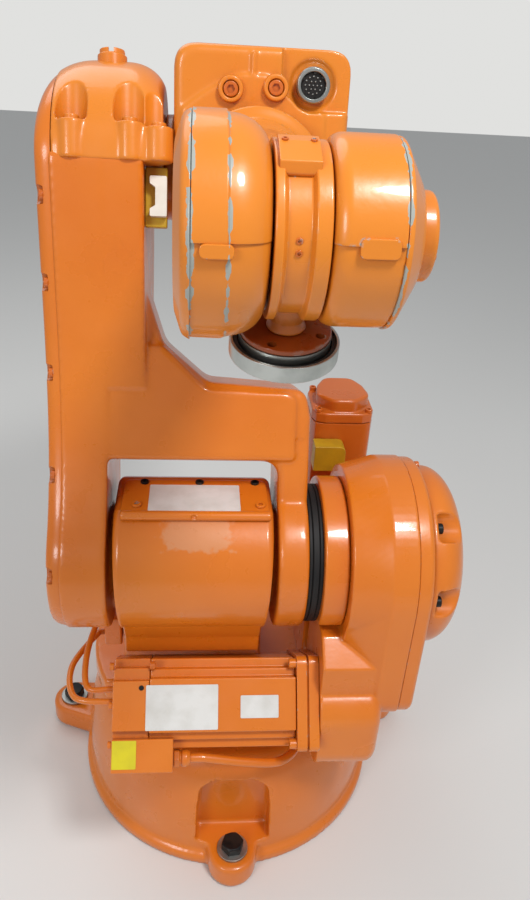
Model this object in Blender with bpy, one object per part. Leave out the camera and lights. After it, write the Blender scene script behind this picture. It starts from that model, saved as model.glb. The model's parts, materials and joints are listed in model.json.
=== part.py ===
"""Six-axis industrial robot arm, at real size, folded in its rest pose.

The frame stands on the floor: +Z is up, the first axis is the Z axis, and the
arm works towards -Y. Each moving body hangs under an empty on its joint's axis,
and is modelled upright in that empty's frame.
"""

import math

import bmesh
import bpy

# Gaps and overruns
SEAT_GAP = 0.0003
OVERRUN = 0.010
FUSE = 0.002
JOIN_STEP = 0.0002

# Stack from the floor up to the second axis, 0.352 in all
BASE_HEIGHT = 0.150
TURRET_THICKNESS = 0.028
MOTOR_2_LIFT = 0.041
MOTOR_2_DROP = 0.133
TURRET_DECK = BASE_HEIGHT + TURRET_THICKNESS
AXIS_2_HEIGHT = TURRET_DECK + MOTOR_2_LIFT + MOTOR_2_DROP

# Lengths between the joint axes
AXIS_2_OFFSET = 0.070
LOWER_ARM_LENGTH = 0.360
FOREARM_LENGTH = 0.380
FLANGE_REACH = 0.0665

# Rest pose, in degrees
LOWER_ARM_LEAN = 20.0
FOREARM_PITCH = 6.4
FLANGE_TUCK = 10.5

# Faceting
ROUND_SIDES = 48
SMALL_SIDES = 24
HEX_SIDES = 6
CORNER_STEPS = 4
HULL_STEPS = 12
ARM_ROUND_STEPS = 16
RECESS_STEPS = 6
WINDOW_STEPS = 3
CABLE_RING_STEPS = 3
SHARP_ANGLE = math.radians(35)

# Base casting
RIM_RADIUS = 0.176
RIM_HEIGHT = 0.014
BELL_RADIUS = 0.171
BELL_NECK_HEIGHT = 0.007
BELL_HEIGHT = BASE_HEIGHT - BELL_NECK_HEIGHT
BELL_STEPS = 8
BELL_POWER = 3
NECK_RADIUS = 0.112
EAR_RADIUS = 0.026
EAR_THICKNESS = 0.030
EAR_ROOT_RADIUS = 0.060
EAR_EDGE = 0.003
FRONT_EAR_REACH = 0.175
SIDE_EAR_X = 0.198
SIDE_EAR_Y = 0.043
ARCH_HALF_WIDTH = 0.040
ARCH_TOP = 0.100
ARCH_CORNER = 0.024
ARCH_BACK_REACH = 0.142
REAR_BOX_WIDTH = 0.130
REAR_BOX_LOW = 0.012
REAR_BOX_TOP = 0.118
REAR_BOX_STAND = 0.023
REAR_BOX_REACH = RIM_RADIUS + REAR_BOX_STAND
REAR_BOX_ROUND = 0.008

# Rear connector panel
PANEL_MARGIN = 0.010
PANEL_THICKNESS = 0.003
PLUG_RADIUS = 0.019
PLUG_BORE_RADIUS = 0.014
PLUG_BORE_DEPTH = 0.010
PLUG_LENGTH = 0.020
PLUG_SPACING = 0.052

# Foot bolts
BOLT_RADIUS = 0.008
BOLT_HOLE_GAP = 0.0005
BOLT_HEAD_RADIUS = 0.0135
BOLT_HEAD_HEIGHT = 0.010
WASHER_RADIUS = 0.015
WASHER_HEIGHT = 0.003

# Second axis: the places of its pieces along X
LEFT_LEG_OUTER = -0.163
LEFT_LEG_INNER = -0.124
CENTRE_LEFT = -0.119
CENTRE_RIGHT = 0.0275
RIGHT_LEG_INNER = 0.0315
RIGHT_LEG_OUTER = 0.060
WALL_LEFT = 0.0735
WALL_RIGHT = 0.0965

# Turret
TURRET_RADIUS = 0.158
TURRET_FRONT = 0.074
COLUMN_FRONT = 0.064
COLUMN_BACK = 0.050
COLUMN_WAIST = 0.030
COLUMN_KNEE_SHARE = 0.5
COLUMN_KNEE = TURRET_DECK + 0.052
COLUMN_TOP = AXIS_2_HEIGHT - 0.022
CENTRE_RADIUS = 0.0735
CENTRE_FLAT = 0.068
CENTRE_EDGE = 0.007
COVER_MARGIN = 0.004
COVER_THICKNESS = 0.004
COVER_LID_EDGE = 0.001
WALL_RADIUS = 0.076
WALL_FOOT_BACK = 0.040
WALL_START_ANGLE = -30
WALL_END_ANGLE = 210
SEAL_RADIUS = 0.068
SEAL_BORE_GAP = 0.0005

# Gearbox beside the right leg
GEAR_RADIUS = 0.098
GEAR_LEFT_RADIUS = 0.093
GEAR_LEFT_TAIL_RADIUS = 0.050
GEAR_LEFT_TAIL_SHARE = 0.35
GEAR_CREASE = 0.132
GEAR_RIGHT = 0.155
GEAR_TAIL_RADIUS = 0.033
SHELF_RIGHT = 0.136
SHELF_BACK_RISE = 0.012
SHELF_BACK_REACH = 0.048
SHELF_BACK_DROP = 0.020
SHELF_SLOPE_DROP = 0.012
SHELF_FRONT_LEAD = 0.007
SHELF_HEEL_RISE = 0.022
PINION_BOSS_RADIUS = 0.033
PINION_BOSS_FORWARD = 0.020
PINION_BOSS_DROP = 0.029
PINION_BOSS_RIGHT = 0.138
PINION_BOSS_EDGE = 0.010
END_FLANGE_RADIUS = 0.0965
END_FLANGE_TAIL_RADIUS = 0.0315
END_FLANGE_RIGHT = 0.170
END_FLANGE_EDGE = 0.004
DOME_RADIUS = 0.088
DOME_RIGHT = 0.208
DOME_FACE_RADIUS = 0.046
DOME_RIM_HEIGHT = 0.010
DOME_STEPS = 6
DOME_POCKET_ANGLES = (128, 176, 308, 356)
DOME_POCKET_RADIUS = 0.014
DOME_POCKET_FLOOR = 0.006

# Second axis motor, on a tilted square section
MOTOR_2_Y = -0.130
MOTOR_2_Z = TURRET_DECK + MOTOR_2_LIFT
MOTOR_2_TILT = 40.0
MOTOR_2_SIDE = 0.084
MOTOR_2_FACE = 0.050
MOTOR_2_NOTCH = 0.009
MOTOR_2_LEFT = -0.118
MOTOR_2_BODY_LEFT = -0.086
MOTOR_2_BODY_RIGHT = 0.055
MOTOR_2_FLANGE_RIGHT = 0.0767
MOTOR_2_FLANGE_SIDE = 0.090
MOTOR_2_END_CUT = 0.012
BOX_RIGHT = -0.062
BOX_DROP = 0.024
BOX_DEPTH = 0.045
BOX_EDGE = 0.002
GLAND_RADIUS = 0.0085
GLAND_LENGTH = 0.016
MOTOR_CABLE_RADIUS = 0.0045
MOTOR_CABLE_LEAD = 0.008
MOTOR_CABLE_RUN = 0.055
MOTOR_CABLE_TURN = 0.026
MOTOR_CABLE_SAG = 0.004
MOTOR_CABLE_DROP = 0.0665
MOTOR_CABLE_RISE = 0.0145
CABLE_POINT_DIAMETERS = 2
LOOP_CABLE_RADIUS = 0.0026
LOOP_LEAD = 0.006
LOOP_END_RISE = 0.018
LOOP_LOWER_RISE_SHARE = 0.25
LOOP_LOWER_BULGE = 0.028
LOOP_LOWER_END_LEAD = 0.024
LOOP_UPPER_RISE_SHARE = 0.75
LOOP_UPPER_BULGE = 0.014
LOOP_UPPER_END_LEAD = 0.008
LOOP_RETURN_SHARE = 0.25
TERMINAL_WIDTH = 0.018
TERMINAL_DEPTH = 0.016
TERMINAL_RISE = 0.060
TERMINAL_HEIGHT = 0.028
TERMINAL_EDGE = 0.002

# First axis motor, upright behind the gearbox
MOTOR_1_X = 0.115
MOTOR_1_Y = 0.086
MOTOR_1_SIDE = 0.068
MOTOR_1_CORNER = 0.014
MOTOR_1_TOP = 0.432
MOTOR_1_CAP_HEIGHT = 0.027
MOTOR_1_CAP_TOP = MOTOR_1_TOP + MOTOR_1_CAP_HEIGHT
MOTOR_1_PAD_MARGIN = 0.008
CAP_EDGE = 0.005
SOCKET_WIDTH = 0.034
SOCKET_DEPTH = 0.020
SOCKET_HEIGHT = 0.030
SOCKET_DROP = 0.018
SOCKET_TOP = MOTOR_1_TOP - SOCKET_DROP
SOCKET_INSET = 0.002

# Lower arm
LEG_RADIUS = 0.0727
TOP_RADIUS = 0.0844
CAP_RIGHT = -0.075
COLUMN_RIGHT = -0.090
COLUMN_NOTCH_HEIGHT = 0.250
WAIST_TOP_ANGLE = 190
WAIST_LOW_ANGLE = 155
WAIST_TOP_HANDLE = 0.120
WAIST_LOW_HANDLE = 0.100
WAIST_STEPS = 8
CROSSBAR_LOW = 0.098
CROSSBAR_HIGH = 0.165
CROSSBAR_DEPTH = 0.0415
CROSSBAR_FACE_DEPTH = 0.0465
CROSSBAR_FACE_RIGHT = 0.046
WINDOW_ROUND = 0.016
SHOULDER_HEIGHT = 0.205
SHOULDER_INNER = -0.035
SHOULDER_OUTER = 0.055
RIGHT_CORNER_HEIGHT = 0.140
PARTING_DROP = 0.010
ARM_EDGE = 0.006
HUB_RADIUS = 0.045
COVER_LEFT = -0.177
COVER_EDGE = 0.007
COVER_INSET = 0.002

# Third axis cap on the column
CAP_ROUND = 0.018
POCKET_RADIUS = 0.0120
POCKET_RISE = 0.020
POCKET_INSET = 0.0095
POCKETS_X = (-0.147, -0.101, -0.075)
TOP_PLUG_X = -0.1205
TOP_PLUG_FORWARD = 0.020
TOP_PLUG_RADIUS = 0.0125
TOP_PLUG_COLLAR = 0.006
TOP_PLUG_HEIGHT = 0.006

# Limit stop on the column's right face
YELLOW_RIGHT = -0.0735
YELLOW_HEIGHT = 0.048
YELLOW_STEP = 0.0224
YELLOW_THICKNESS = 0.011
YELLOW_FRONT = TOP_RADIUS - YELLOW_STEP
YELLOW_BACK = YELLOW_FRONT - YELLOW_THICKNESS
WHITE_WIDTH = 0.013
WHITE_HEIGHT = 0.032
WHITE_DEPTH = 0.009

# Upper arm
UPPER_LEFT = -0.066
UPPER_RIGHT = 0.075
UPPER_FRONT = 0.075
UPPER_BACK = 0.100
UPPER_LOW = 0.065
UPPER_HIGH = 0.098
UPPER_ROUND = 0.018
REAR_COVER_REACH = 0.150
REAR_COVER_SIDE = 0.068
REAR_COVER_ROUND = 0.012
CONNECTOR_X = 0.0445
CONNECTOR_Z = 0.072
CONNECTOR_RADIUS = 0.0125
CONNECTOR_BORE_RADIUS = 0.0100
CONNECTOR_REACH = 0.006
CONNECTOR_RECESS = 0.008
RECESS_LEFT = 0.0175
RECESS_LOW = 0.052
RECESS_CORNER = 0.022

# Forearm and wrist
COLLAR_RADIUS = 0.0525
COLLAR_LENGTH = 0.028
COLLAR_EDGE = 0.006
NECK_BIG_RADIUS = 0.046
NECK_SMALL_RADIUS = 0.035
NECK_TAPER_END = 0.062
NECK_ROOT = 0.012
LEFT_DRUM_RADIUS = 0.053
RIGHT_DRUM_RADIUS = 0.045
DRUM_LEFT = -0.0555
LEFT_CHEEK_INNER = -0.042
RIGHT_CHEEK_INNER = 0.0435
RIGHT_CHEEK_OUTER = 0.0546
SLOT_LEFT = -0.0155
SLOT_RIGHT = 0.008
SLOT_BACK = 0.046
SLOT_INSET = 0.0005
CHEEK_EDGE = 0.008
CHEEK_CREASE = 0.0027
CHEEK_FACE_RADIUS = 0.027
BOSS_RADIUS = 0.021
BOSS_RIGHT = 0.0615
TILT_RADIUS = 0.0405
TILT_GAP = 0.0005
TILT_STEM_INSET = 0.0005
TILT_STEM_HALF = 0.0235
FLANGE_DISC_RADIUS = 0.0235
FLANGE_RING_RADIUS = 0.0285
FLANGE_THICKNESS = 0.0095
FLANGE_BORE_RADIUS = 0.010

# Finishes: colour, roughness and metallic value
ORANGE_PAINT = ((0.78, 0.21, 0.03), 0.32, 0.0)
PALE_ORANGE_PAINT = ((0.80, 0.25, 0.05), 0.30, 0.0)
BARE_STEEL = ((0.62, 0.63, 0.62), 0.30, 1.0)
BLACK_STEEL = ((0.03, 0.03, 0.035), 0.45, 0.9)
BLACK_PLASTIC = ((0.02, 0.02, 0.02), 0.50, 0.0)
YELLOW_PLASTIC = ((0.72, 0.48, 0.03), 0.45, 0.0)
WHITE_PLASTIC = ((0.80, 0.80, 0.76), 0.45, 0.0)


def clear_scene():
    """Remove every object, so that the script always starts alike."""
    for item in list(bpy.data.objects):
        bpy.data.objects.remove(item, do_unlink=True)


def make_material(name, finish):
    """Return a Principled material from a colour, a roughness and a metallic value."""
    colour, roughness, metallic = finish
    material = bpy.data.materials.new(name)
    material.use_nodes = True
    shader = material.node_tree.nodes["Principled BSDF"]
    shader.inputs["Base Color"].default_value = (*colour, 1.0)
    shader.inputs["Roughness"].default_value = roughness
    shader.inputs["Metallic"].default_value = metallic
    material.diffuse_color = (*colour, 1.0)
    return material


def add_axis(name, parent, location, degrees):
    """Add an empty on a joint's axis, turned about X by the rest angle."""
    empty = bpy.data.objects.new(name, None)
    bpy.context.collection.objects.link(empty)
    empty.parent = parent
    empty.location = location
    empty.rotation_euler.x = math.radians(degrees)
    return empty


def add_solid(name, mesh_tool, finish, parent):
    """Turn a bmesh into an object with its own material."""
    bmesh.ops.recalc_face_normals(mesh_tool, faces=mesh_tool.faces)
    mesh = bpy.data.meshes.new(name)
    mesh_tool.to_mesh(mesh)
    mesh_tool.free()
    mesh.shade_smooth()
    mesh.set_sharp_from_angle(angle=SHARP_ANGLE)
    item = bpy.data.objects.new(name, mesh)
    bpy.context.collection.objects.link(item)
    item.parent = parent
    if finish is not None:
        mesh.materials.append(make_material(name + "_paint", finish))
    return item


def spread(point, axis, level):
    """Place a flat point at a level along the named axis."""
    first, second = point
    if axis == "X":
        return (level, first, second)
    if axis == "Y":
        return (first, level, second)
    return (first, second, level)


def loft(name, sections, axis, finish=None, parent=None):
    """Join outlines with equally many points, each at its own level along an axis."""
    shape = bmesh.new()
    rings = []
    for outline, level in sections:
        rings.append([shape.verts.new(spread(point, axis, level)) for point in outline])
    shape.faces.new(rings[0])
    shape.faces.new(rings[-1])
    for ring, following in zip(rings, rings[1:]):
        for index in range(len(ring)):
            after = (index + 1) % len(ring)
            shape.faces.new((ring[index], ring[after], following[after], following[index]))
    return add_solid(name, shape, finish, parent)


def prism(name, outline, axis, low, high, finish=None, parent=None):
    """Extrude an outline between two levels along an axis."""
    return loft(name, [(outline, low), (outline, high)], axis, finish, parent)


def cable(name, route, radius, parent):
    """Sweep a round cable through the route's points: straight at both ends, smooth between."""
    points = [route[0]]
    for before, start, end, after in zip(route, route[1:], route[2:], route[3:]):
        steps = max(1, round(math.dist(start, end) / (CABLE_POINT_DIAMETERS * 2 * radius)))
        for index in range(steps):
            share = index / steps
            weights = (-share + 2 * share**2 - share**3, 2 - 5 * share**2 + 3 * share**3,
                       share + 4 * share**2 - 3 * share**3, share**3 - share**2)
            parts = list(zip(weights, (before, start, end, after)))
            points.append([sum(weight * point[axis] for weight, point in parts) / 2 for axis in range(3)])
    points += route[-2:]
    curve = bpy.data.curves.new(name, "CURVE")
    curve.dimensions = "3D"
    curve.bevel_depth = radius
    curve.bevel_resolution = CABLE_RING_STEPS
    curve.use_fill_caps = True
    spline = curve.splines.new("POLY")
    spline.points.add(len(points) - 1)
    for item, point in zip(spline.points, points):
        item.co = (*point, 1.0)
    curve.materials.append(make_material(name + "_paint", ORANGE_PAINT))
    tube = bpy.data.objects.new(name, curve)
    bpy.context.collection.objects.link(tube)
    tube.parent = parent
    return tube


def turned(name, profile, axis, centre, sides, finish=None, parent=None):
    """Turn a profile of (radius, level) points about an axis through a flat centre."""
    shape = bmesh.new()
    rings = []
    for radius, level in profile:
        if radius == 0:
            rings.append([shape.verts.new(spread(centre, axis, level))])
            continue
        ring = []
        for index in range(sides):
            angle = math.tau * index / sides
            point = (centre[0] + radius * math.cos(angle), centre[1] + radius * math.sin(angle))
            ring.append(shape.verts.new(spread(point, axis, level)))
        rings.append(ring)
    for ring, following in zip(rings, rings[1:]):
        for index in range(sides):
            after = (index + 1) % sides
            corners = [ring[index % len(ring)], ring[after % len(ring)]]
            corners += [following[after % len(following)], following[index % len(following)]]
            shape.faces.new(list(dict.fromkeys(corners)))
    for ring in (rings[0], rings[-1]):
        if len(ring) > 1:
            shape.faces.new(ring)
    return add_solid(name, shape, finish, parent)


def block(name, low, high, finish=None, parent=None):
    """Add a box between two opposite corners."""
    outline = rectangle(low[0], high[0], low[1], high[1])
    return prism(name, outline, "Z", low[2], high[2], finish, parent)


def rectangle(left, right, low, high):
    """Return a rectangle's corners."""
    return [(left, low), (right, low), (right, high), (left, high)]


def arc(centre, radius, start, end, steps):
    """Return points along an arc, angles in degrees."""
    points = []
    for index in range(steps + 1):
        angle = math.radians(start + (end - start) * index / steps)
        points.append((centre[0] + radius * math.cos(angle), centre[1] + radius * math.sin(angle)))
    return points


def rounded_rectangle(left, right, low, high, corner, steps=CORNER_STEPS):
    """Return a rectangle with round corners."""
    centres = [(right - corner, high - corner), (left + corner, high - corner)]
    centres += [(left + corner, low + corner), (right - corner, low + corner)]
    points = []
    for index, centre in enumerate(centres):
        points += arc(centre, corner, index * 90, index * 90 + 90, steps)
    return points


def two_circle_hull(first, first_radius, second, second_radius, steps=HULL_STEPS):
    """Return the outline of two circles and the tangents that join them."""
    run = (second[0] - first[0], second[1] - first[1])
    length = math.hypot(*run)
    heading = math.degrees(math.atan2(run[1], run[0]))
    lean = math.degrees(math.acos((first_radius - second_radius) / length))
    points = arc(second, second_radius, heading - lean, heading + lean, steps)
    points += arc(first, first_radius, heading + lean, heading + 360 - lean, steps)
    return points


def clip_below(outline, height):
    """Keep the part of an outline under a height."""
    kept = []
    for index, point in enumerate(outline):
        before = outline[index - 1]
        if (before[1] > height) != (point[1] > height):
            share = (height - before[1]) / (point[1] - before[1])
            kept.append((before[0] + share * (point[0] - before[0]), height))
        if point[1] <= height:
            kept.append(point)
    return kept


def clip_above(outline, height):
    """Keep the part of an outline over a height."""
    flipped = [(first, -second) for first, second in outline]
    return [(first, -second) for first, second in clip_below(flipped, -height)]


def soften(item, width, steps=2):
    """Bevel the sharp edges of a solid."""
    bevel = item.modifiers.new("soft_edges", "BEVEL")
    bevel.width = width
    bevel.segments = steps
    bevel.limit_method = "ANGLE"
    bevel.angle_limit = SHARP_ANGLE
    return item


def combine(item, tool, operation):
    """Join a tool to a solid, or cut the solid with it."""
    tool.hide_render = True
    tool.display_type = "WIRE"
    tool.parent = item.parent
    change = item.modifiers.new(tool.name, "BOOLEAN")
    change.operation = operation
    change.object = tool
    return item


def join(item, *tools):
    """Unite solids into one body."""
    for tool in tools:
        combine(item, tool, "UNION")
    return item


def cut(item, *tools):
    """Take tools away from a solid."""
    for tool in tools:
        combine(item, tool, "DIFFERENCE")
    return item


def ear_places():
    """Return each foot ear's name and bolt place."""
    return {
        "front": (0.0, -FRONT_EAR_REACH),
        "left": (-SIDE_EAR_X, SIDE_EAR_Y),
        "right": (SIDE_EAR_X, SIDE_EAR_Y),
    }


def bell_profile():
    """Return the base's turned outline, from the floor up to the bearing neck."""
    points = [(0.0, 0.0), (RIM_RADIUS, 0.0), (RIM_RADIUS, RIM_HEIGHT)]
    for index in range(BELL_STEPS + 1):
        share = index / BELL_STEPS
        bulge = (1 - share**BELL_POWER) ** (1 / BELL_POWER)
        radius = NECK_RADIUS + (BELL_RADIUS - NECK_RADIUS) * bulge
        points.append((radius, RIM_HEIGHT + share * (BELL_HEIGHT - RIM_HEIGHT)))
    points += [(NECK_RADIUS, BASE_HEIGHT), (0.0, BASE_HEIGHT)]
    return points


def build_base():
    """Build the fixed bell casting with its ears, bolts and rear connectors."""
    base = turned("base_casting", bell_profile(), "Z", (0.0, 0.0), ROUND_SIDES, ORANGE_PAINT)
    for name, place in ear_places().items():
        outline = two_circle_hull((0.0, 0.0), EAR_ROOT_RADIUS, place, EAR_RADIUS)
        ear = prism(name + "_ear", outline, "Z", 0.0, EAR_THICKNESS)
        join(base, soften(ear, EAR_EDGE))
    half = REAR_BOX_WIDTH / 2
    rear_box = block("rear_box", (-half, 0.0, REAR_BOX_LOW), (half, REAR_BOX_REACH, REAR_BOX_TOP))
    join(base, soften(rear_box, REAR_BOX_ROUND))
    spring = ARCH_TOP - ARCH_CORNER
    inset = ARCH_HALF_WIDTH - ARCH_CORNER
    arch = arc((inset, spring), ARCH_CORNER, 0, 90, RECESS_STEPS)
    arch += arc((-inset, spring), ARCH_CORNER, 90, 180, RECESS_STEPS)
    arch += [(-ARCH_HALF_WIDTH, EAR_THICKNESS), (ARCH_HALF_WIDTH, EAR_THICKNESS)]
    front = -RIM_RADIUS - EAR_RADIUS - OVERRUN
    cut(base, prism("arch_recess", arch, "Y", front, -ARCH_BACK_REACH))
    hole = BOLT_RADIUS + BOLT_HOLE_GAP
    for name, place in ear_places().items():
        profile = [(hole, -OVERRUN), (hole, EAR_THICKNESS + OVERRUN)]
        cut(base, turned(name + "_hole", profile, "Z", place, SMALL_SIDES))
    for name, place in ear_places().items():
        build_foot_bolt("foot_bolt_" + name, place)
    build_rear_panel()


def build_foot_bolt(name, place):
    """Build one hexagon bolt with its washer, down to the ear's underside."""
    seat = EAR_THICKNESS + SEAT_GAP
    washer_top = seat + WASHER_HEIGHT
    profile = [(BOLT_RADIUS, 0.0), (BOLT_RADIUS, seat)]
    profile += [(WASHER_RADIUS, seat), (WASHER_RADIUS, washer_top)]
    bolt = turned(name, profile, "Z", place, SMALL_SIDES, BLACK_STEEL)
    head_profile = [(BOLT_HEAD_RADIUS, seat), (BOLT_HEAD_RADIUS, washer_top + BOLT_HEAD_HEIGHT)]
    join(bolt, turned(name + "_head", head_profile, "Z", place, HEX_SIDES))


def build_rear_panel():
    """Build the connector plate on the rear box, with its two round sockets."""
    half = REAR_BOX_WIDTH / 2 - PANEL_MARGIN
    low = REAR_BOX_LOW + PANEL_MARGIN
    high = REAR_BOX_TOP - PANEL_MARGIN
    near = REAR_BOX_REACH + SEAT_GAP
    far = near + PANEL_THICKNESS
    block("rear_panel", (-half, near, low), (half, far, high), BARE_STEEL)
    seat = far + SEAT_GAP
    end = seat + PLUG_LENGTH
    for side, name in ((-1, "rear_power_socket"), (1, "rear_signal_socket")):
        centre = (side * PLUG_SPACING / 2, (low + high) / 2)
        profile = [(0.0, seat), (PLUG_RADIUS, seat), (PLUG_RADIUS, end), (PLUG_BORE_RADIUS, end)]
        profile += [(PLUG_BORE_RADIUS, end - PLUG_BORE_DEPTH), (0.0, end - PLUG_BORE_DEPTH)]
        turned(name, profile, "Y", centre, SMALL_SIDES, BLACK_PLASTIC)


def column_outline():
    """Return the side outline of the column under the centre housing, clear of the crossbar's sweep."""
    foot = TURRET_DECK - FUSE
    points = [(-COLUMN_FRONT, foot), (COLUMN_BACK, foot), (COLUMN_BACK * COLUMN_KNEE_SHARE, COLUMN_KNEE)]
    return points + [(-COLUMN_WAIST, COLUMN_TOP), (-COLUMN_FRONT, COLUMN_TOP)]


def build_turret(axis_1):
    """Build the turning casting, the round housing between the legs and its cover."""
    deck_low = BASE_HEIGHT + SEAT_GAP
    start = -math.degrees(math.asin(TURRET_FRONT / TURRET_RADIUS))
    disc = arc((0.0, 0.0), TURRET_RADIUS, start, 180 - start, ROUND_SIDES // 2)
    turret = prism("turret_casting", disc, "Z", deck_low, TURRET_DECK, ORANGE_PAINT, axis_1)
    pad_half = MOTOR_1_SIDE / 2 + MOTOR_1_PAD_MARGIN
    pad = rounded_rectangle(MOTOR_1_X - pad_half, MOTOR_1_X + pad_half, MOTOR_1_Y - pad_half,
                            MOTOR_1_Y + pad_half, MOTOR_1_CORNER)
    join(turret, prism("motor_pad", pad, "Z", deck_low, TURRET_DECK))
    column = prism("turret_column", column_outline(), "X", CENTRE_LEFT, CENTRE_RIGHT)
    join(turret, column)
    axis = (-AXIS_2_OFFSET, AXIS_2_HEIGHT)
    wall = arc(axis, WALL_RADIUS, WALL_START_ANGLE, WALL_END_ANGLE, ROUND_SIDES // 2)
    wall += [(-COLUMN_FRONT, AXIS_2_HEIGHT - WALL_RADIUS), (-COLUMN_FRONT, TURRET_DECK - FUSE)]
    wall += [(WALL_FOOT_BACK, TURRET_DECK - FUSE)]
    join(turret, prism("gear_wall", wall, "X", WALL_LEFT, WALL_RIGHT))
    flat = AXIS_2_HEIGHT + CENTRE_FLAT
    round_outline = clip_below(arc(axis, CENTRE_RADIUS, -90, 270, ROUND_SIDES)[:-1], flat)
    barrel = prism("centre_barrel", round_outline, "X", CENTRE_LEFT, CENTRE_RIGHT)
    join(turret, soften(barrel, CENTRE_EDGE))
    half = math.sqrt(CENTRE_RADIUS**2 - CENTRE_FLAT**2) - COVER_MARGIN
    seat = flat + SEAT_GAP
    margin = CENTRE_EDGE + COVER_MARGIN
    cover = block("centre_cover", (CENTRE_LEFT + margin, -AXIS_2_OFFSET - half, seat),
                  (CENTRE_RIGHT - margin, -AXIS_2_OFFSET + half, seat + COVER_THICKNESS), ORANGE_PAINT,
                  axis_1)
    soften(cover, COVER_LID_EDGE, 1)
    bore = HUB_RADIUS + SEAL_BORE_GAP
    left = RIGHT_LEG_OUTER + SEAL_BORE_GAP
    right = WALL_LEFT - SEAT_GAP
    seal = turned("leg_seal", [(SEAL_RADIUS, left), (SEAL_RADIUS, right)], "X", axis, ROUND_SIDES,
                  BLACK_PLASTIC, axis_1)
    hole = [(bore, left - OVERRUN), (bore, right + OVERRUN)]
    cut(seal, turned("seal_bore", hole, "X", axis, ROUND_SIDES))


def build_gearbox(axis_1):
    """Build the second axis gearbox: body with its tail to the motor, end plate and dome."""
    axis = (-AXIS_2_OFFSET, AXIS_2_HEIGHT)
    motor = (MOTOR_2_Y, MOTOR_2_Z)
    left = WALL_RIGHT + SEAT_GAP
    tail = tuple(near + GEAR_LEFT_TAIL_SHARE * (far - near) for near, far in zip(axis, motor))
    narrow = two_circle_hull(axis, GEAR_LEFT_RADIUS, tail, GEAR_LEFT_TAIL_RADIUS)
    full = two_circle_hull(axis, GEAR_RADIUS, motor, GEAR_TAIL_RADIUS)
    body = loft("gearbox_housing", [(narrow, left), (full, GEAR_CREASE), (full, GEAR_RIGHT)], "X",
                ORANGE_PAINT, axis_1)
    block_left = MOTOR_2_FLANGE_RIGHT + SEAT_GAP
    boss = (MOTOR_2_Y - PINION_BOSS_FORWARD, MOTOR_2_Z - PINION_BOSS_DROP)
    shelf = prism("gear_shelf", shelf_outline(axis, boss), "X", block_left, SHELF_RIGHT)
    edge = PINION_BOSS_EDGE
    profile = [(PINION_BOSS_RADIUS, block_left), (PINION_BOSS_RADIUS, PINION_BOSS_RIGHT - edge)]
    profile += [(PINION_BOSS_RADIUS - edge, PINION_BOSS_RIGHT)]
    join(body, shelf, turned("pinion_boss", profile, "X", boss, SMALL_SIDES))
    seat = GEAR_RIGHT + SEAT_GAP
    plate = two_circle_hull(axis, END_FLANGE_RADIUS, motor, END_FLANGE_TAIL_RADIUS)
    piece = prism("gearbox_end_flange", plate, "X", seat, END_FLANGE_RIGHT, ORANGE_PAINT, axis_1)
    soften(piece, END_FLANGE_EDGE, 1)
    build_dome(axis_1, axis)


def shelf_outline(axis, boss):
    """Return the side outline of the block that carries the motor, with its sloping shelf."""
    back = axis[0] + FUSE
    shelf_back = axis[1] - WALL_RADIUS + SHELF_BACK_RISE
    shelf_front = shelf_back - SHELF_SLOPE_DROP
    front = boss[0] - SHELF_FRONT_LEAD
    points = [(back, shelf_back - SHELF_BACK_DROP), (axis[0] - SHELF_BACK_REACH, shelf_back)]
    points += [(front, shelf_front), (front, boss[1]), (boss[0] + PINION_BOSS_RADIUS, boss[1])]
    return points + [(back, boss[1] + SHELF_HEEL_RISE)]


def build_dome(axis_1, axis):
    """Build the domed gearbox cover, with a screw pocket at each corner of its rim."""
    base = END_FLANGE_RIGHT + SEAT_GAP
    rim = base + DOME_RIM_HEIGHT
    profile = [(DOME_RADIUS, base)]
    for index in range(DOME_STEPS + 1):
        angle = math.pi / 2 * index / DOME_STEPS
        radius = DOME_FACE_RADIUS + (DOME_RADIUS - DOME_FACE_RADIUS) * math.cos(angle)
        profile.append((radius, rim + (DOME_RIGHT - rim) * math.sin(angle)))
    dome = turned("gearbox_cover", profile, "X", axis, ROUND_SIDES, ORANGE_PAINT, axis_1)
    floor = base + DOME_POCKET_FLOOR
    for index, degrees in enumerate(DOME_POCKET_ANGLES):
        angle = math.radians(degrees)
        centre = (axis[0] + DOME_RADIUS * math.cos(angle), axis[1] + DOME_RADIUS * math.sin(angle))
        profile = [(DOME_POCKET_RADIUS, floor), (DOME_POCKET_RADIUS, DOME_RIGHT + OVERRUN)]
        cut(dome, turned(f"dome_pocket_{index + 1}", profile, "X", centre, SMALL_SIDES))


def notched_square(side, face, notch):
    """Return a square outline whose corners step back round the tie bolts."""
    half = side / 2
    flat = face / 2
    inner = half - notch
    points = []
    for turn in range(4):
        cos_turn = round(math.cos(math.pi / 2 * turn))
        sin_turn = round(math.sin(math.pi / 2 * turn))
        for first, second in ((half, -flat), (half, flat), (inner, flat), (inner, inner), (flat, inner)):
            points.append((first * cos_turn - second * sin_turn, first * sin_turn + second * cos_turn))
    return points


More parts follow.
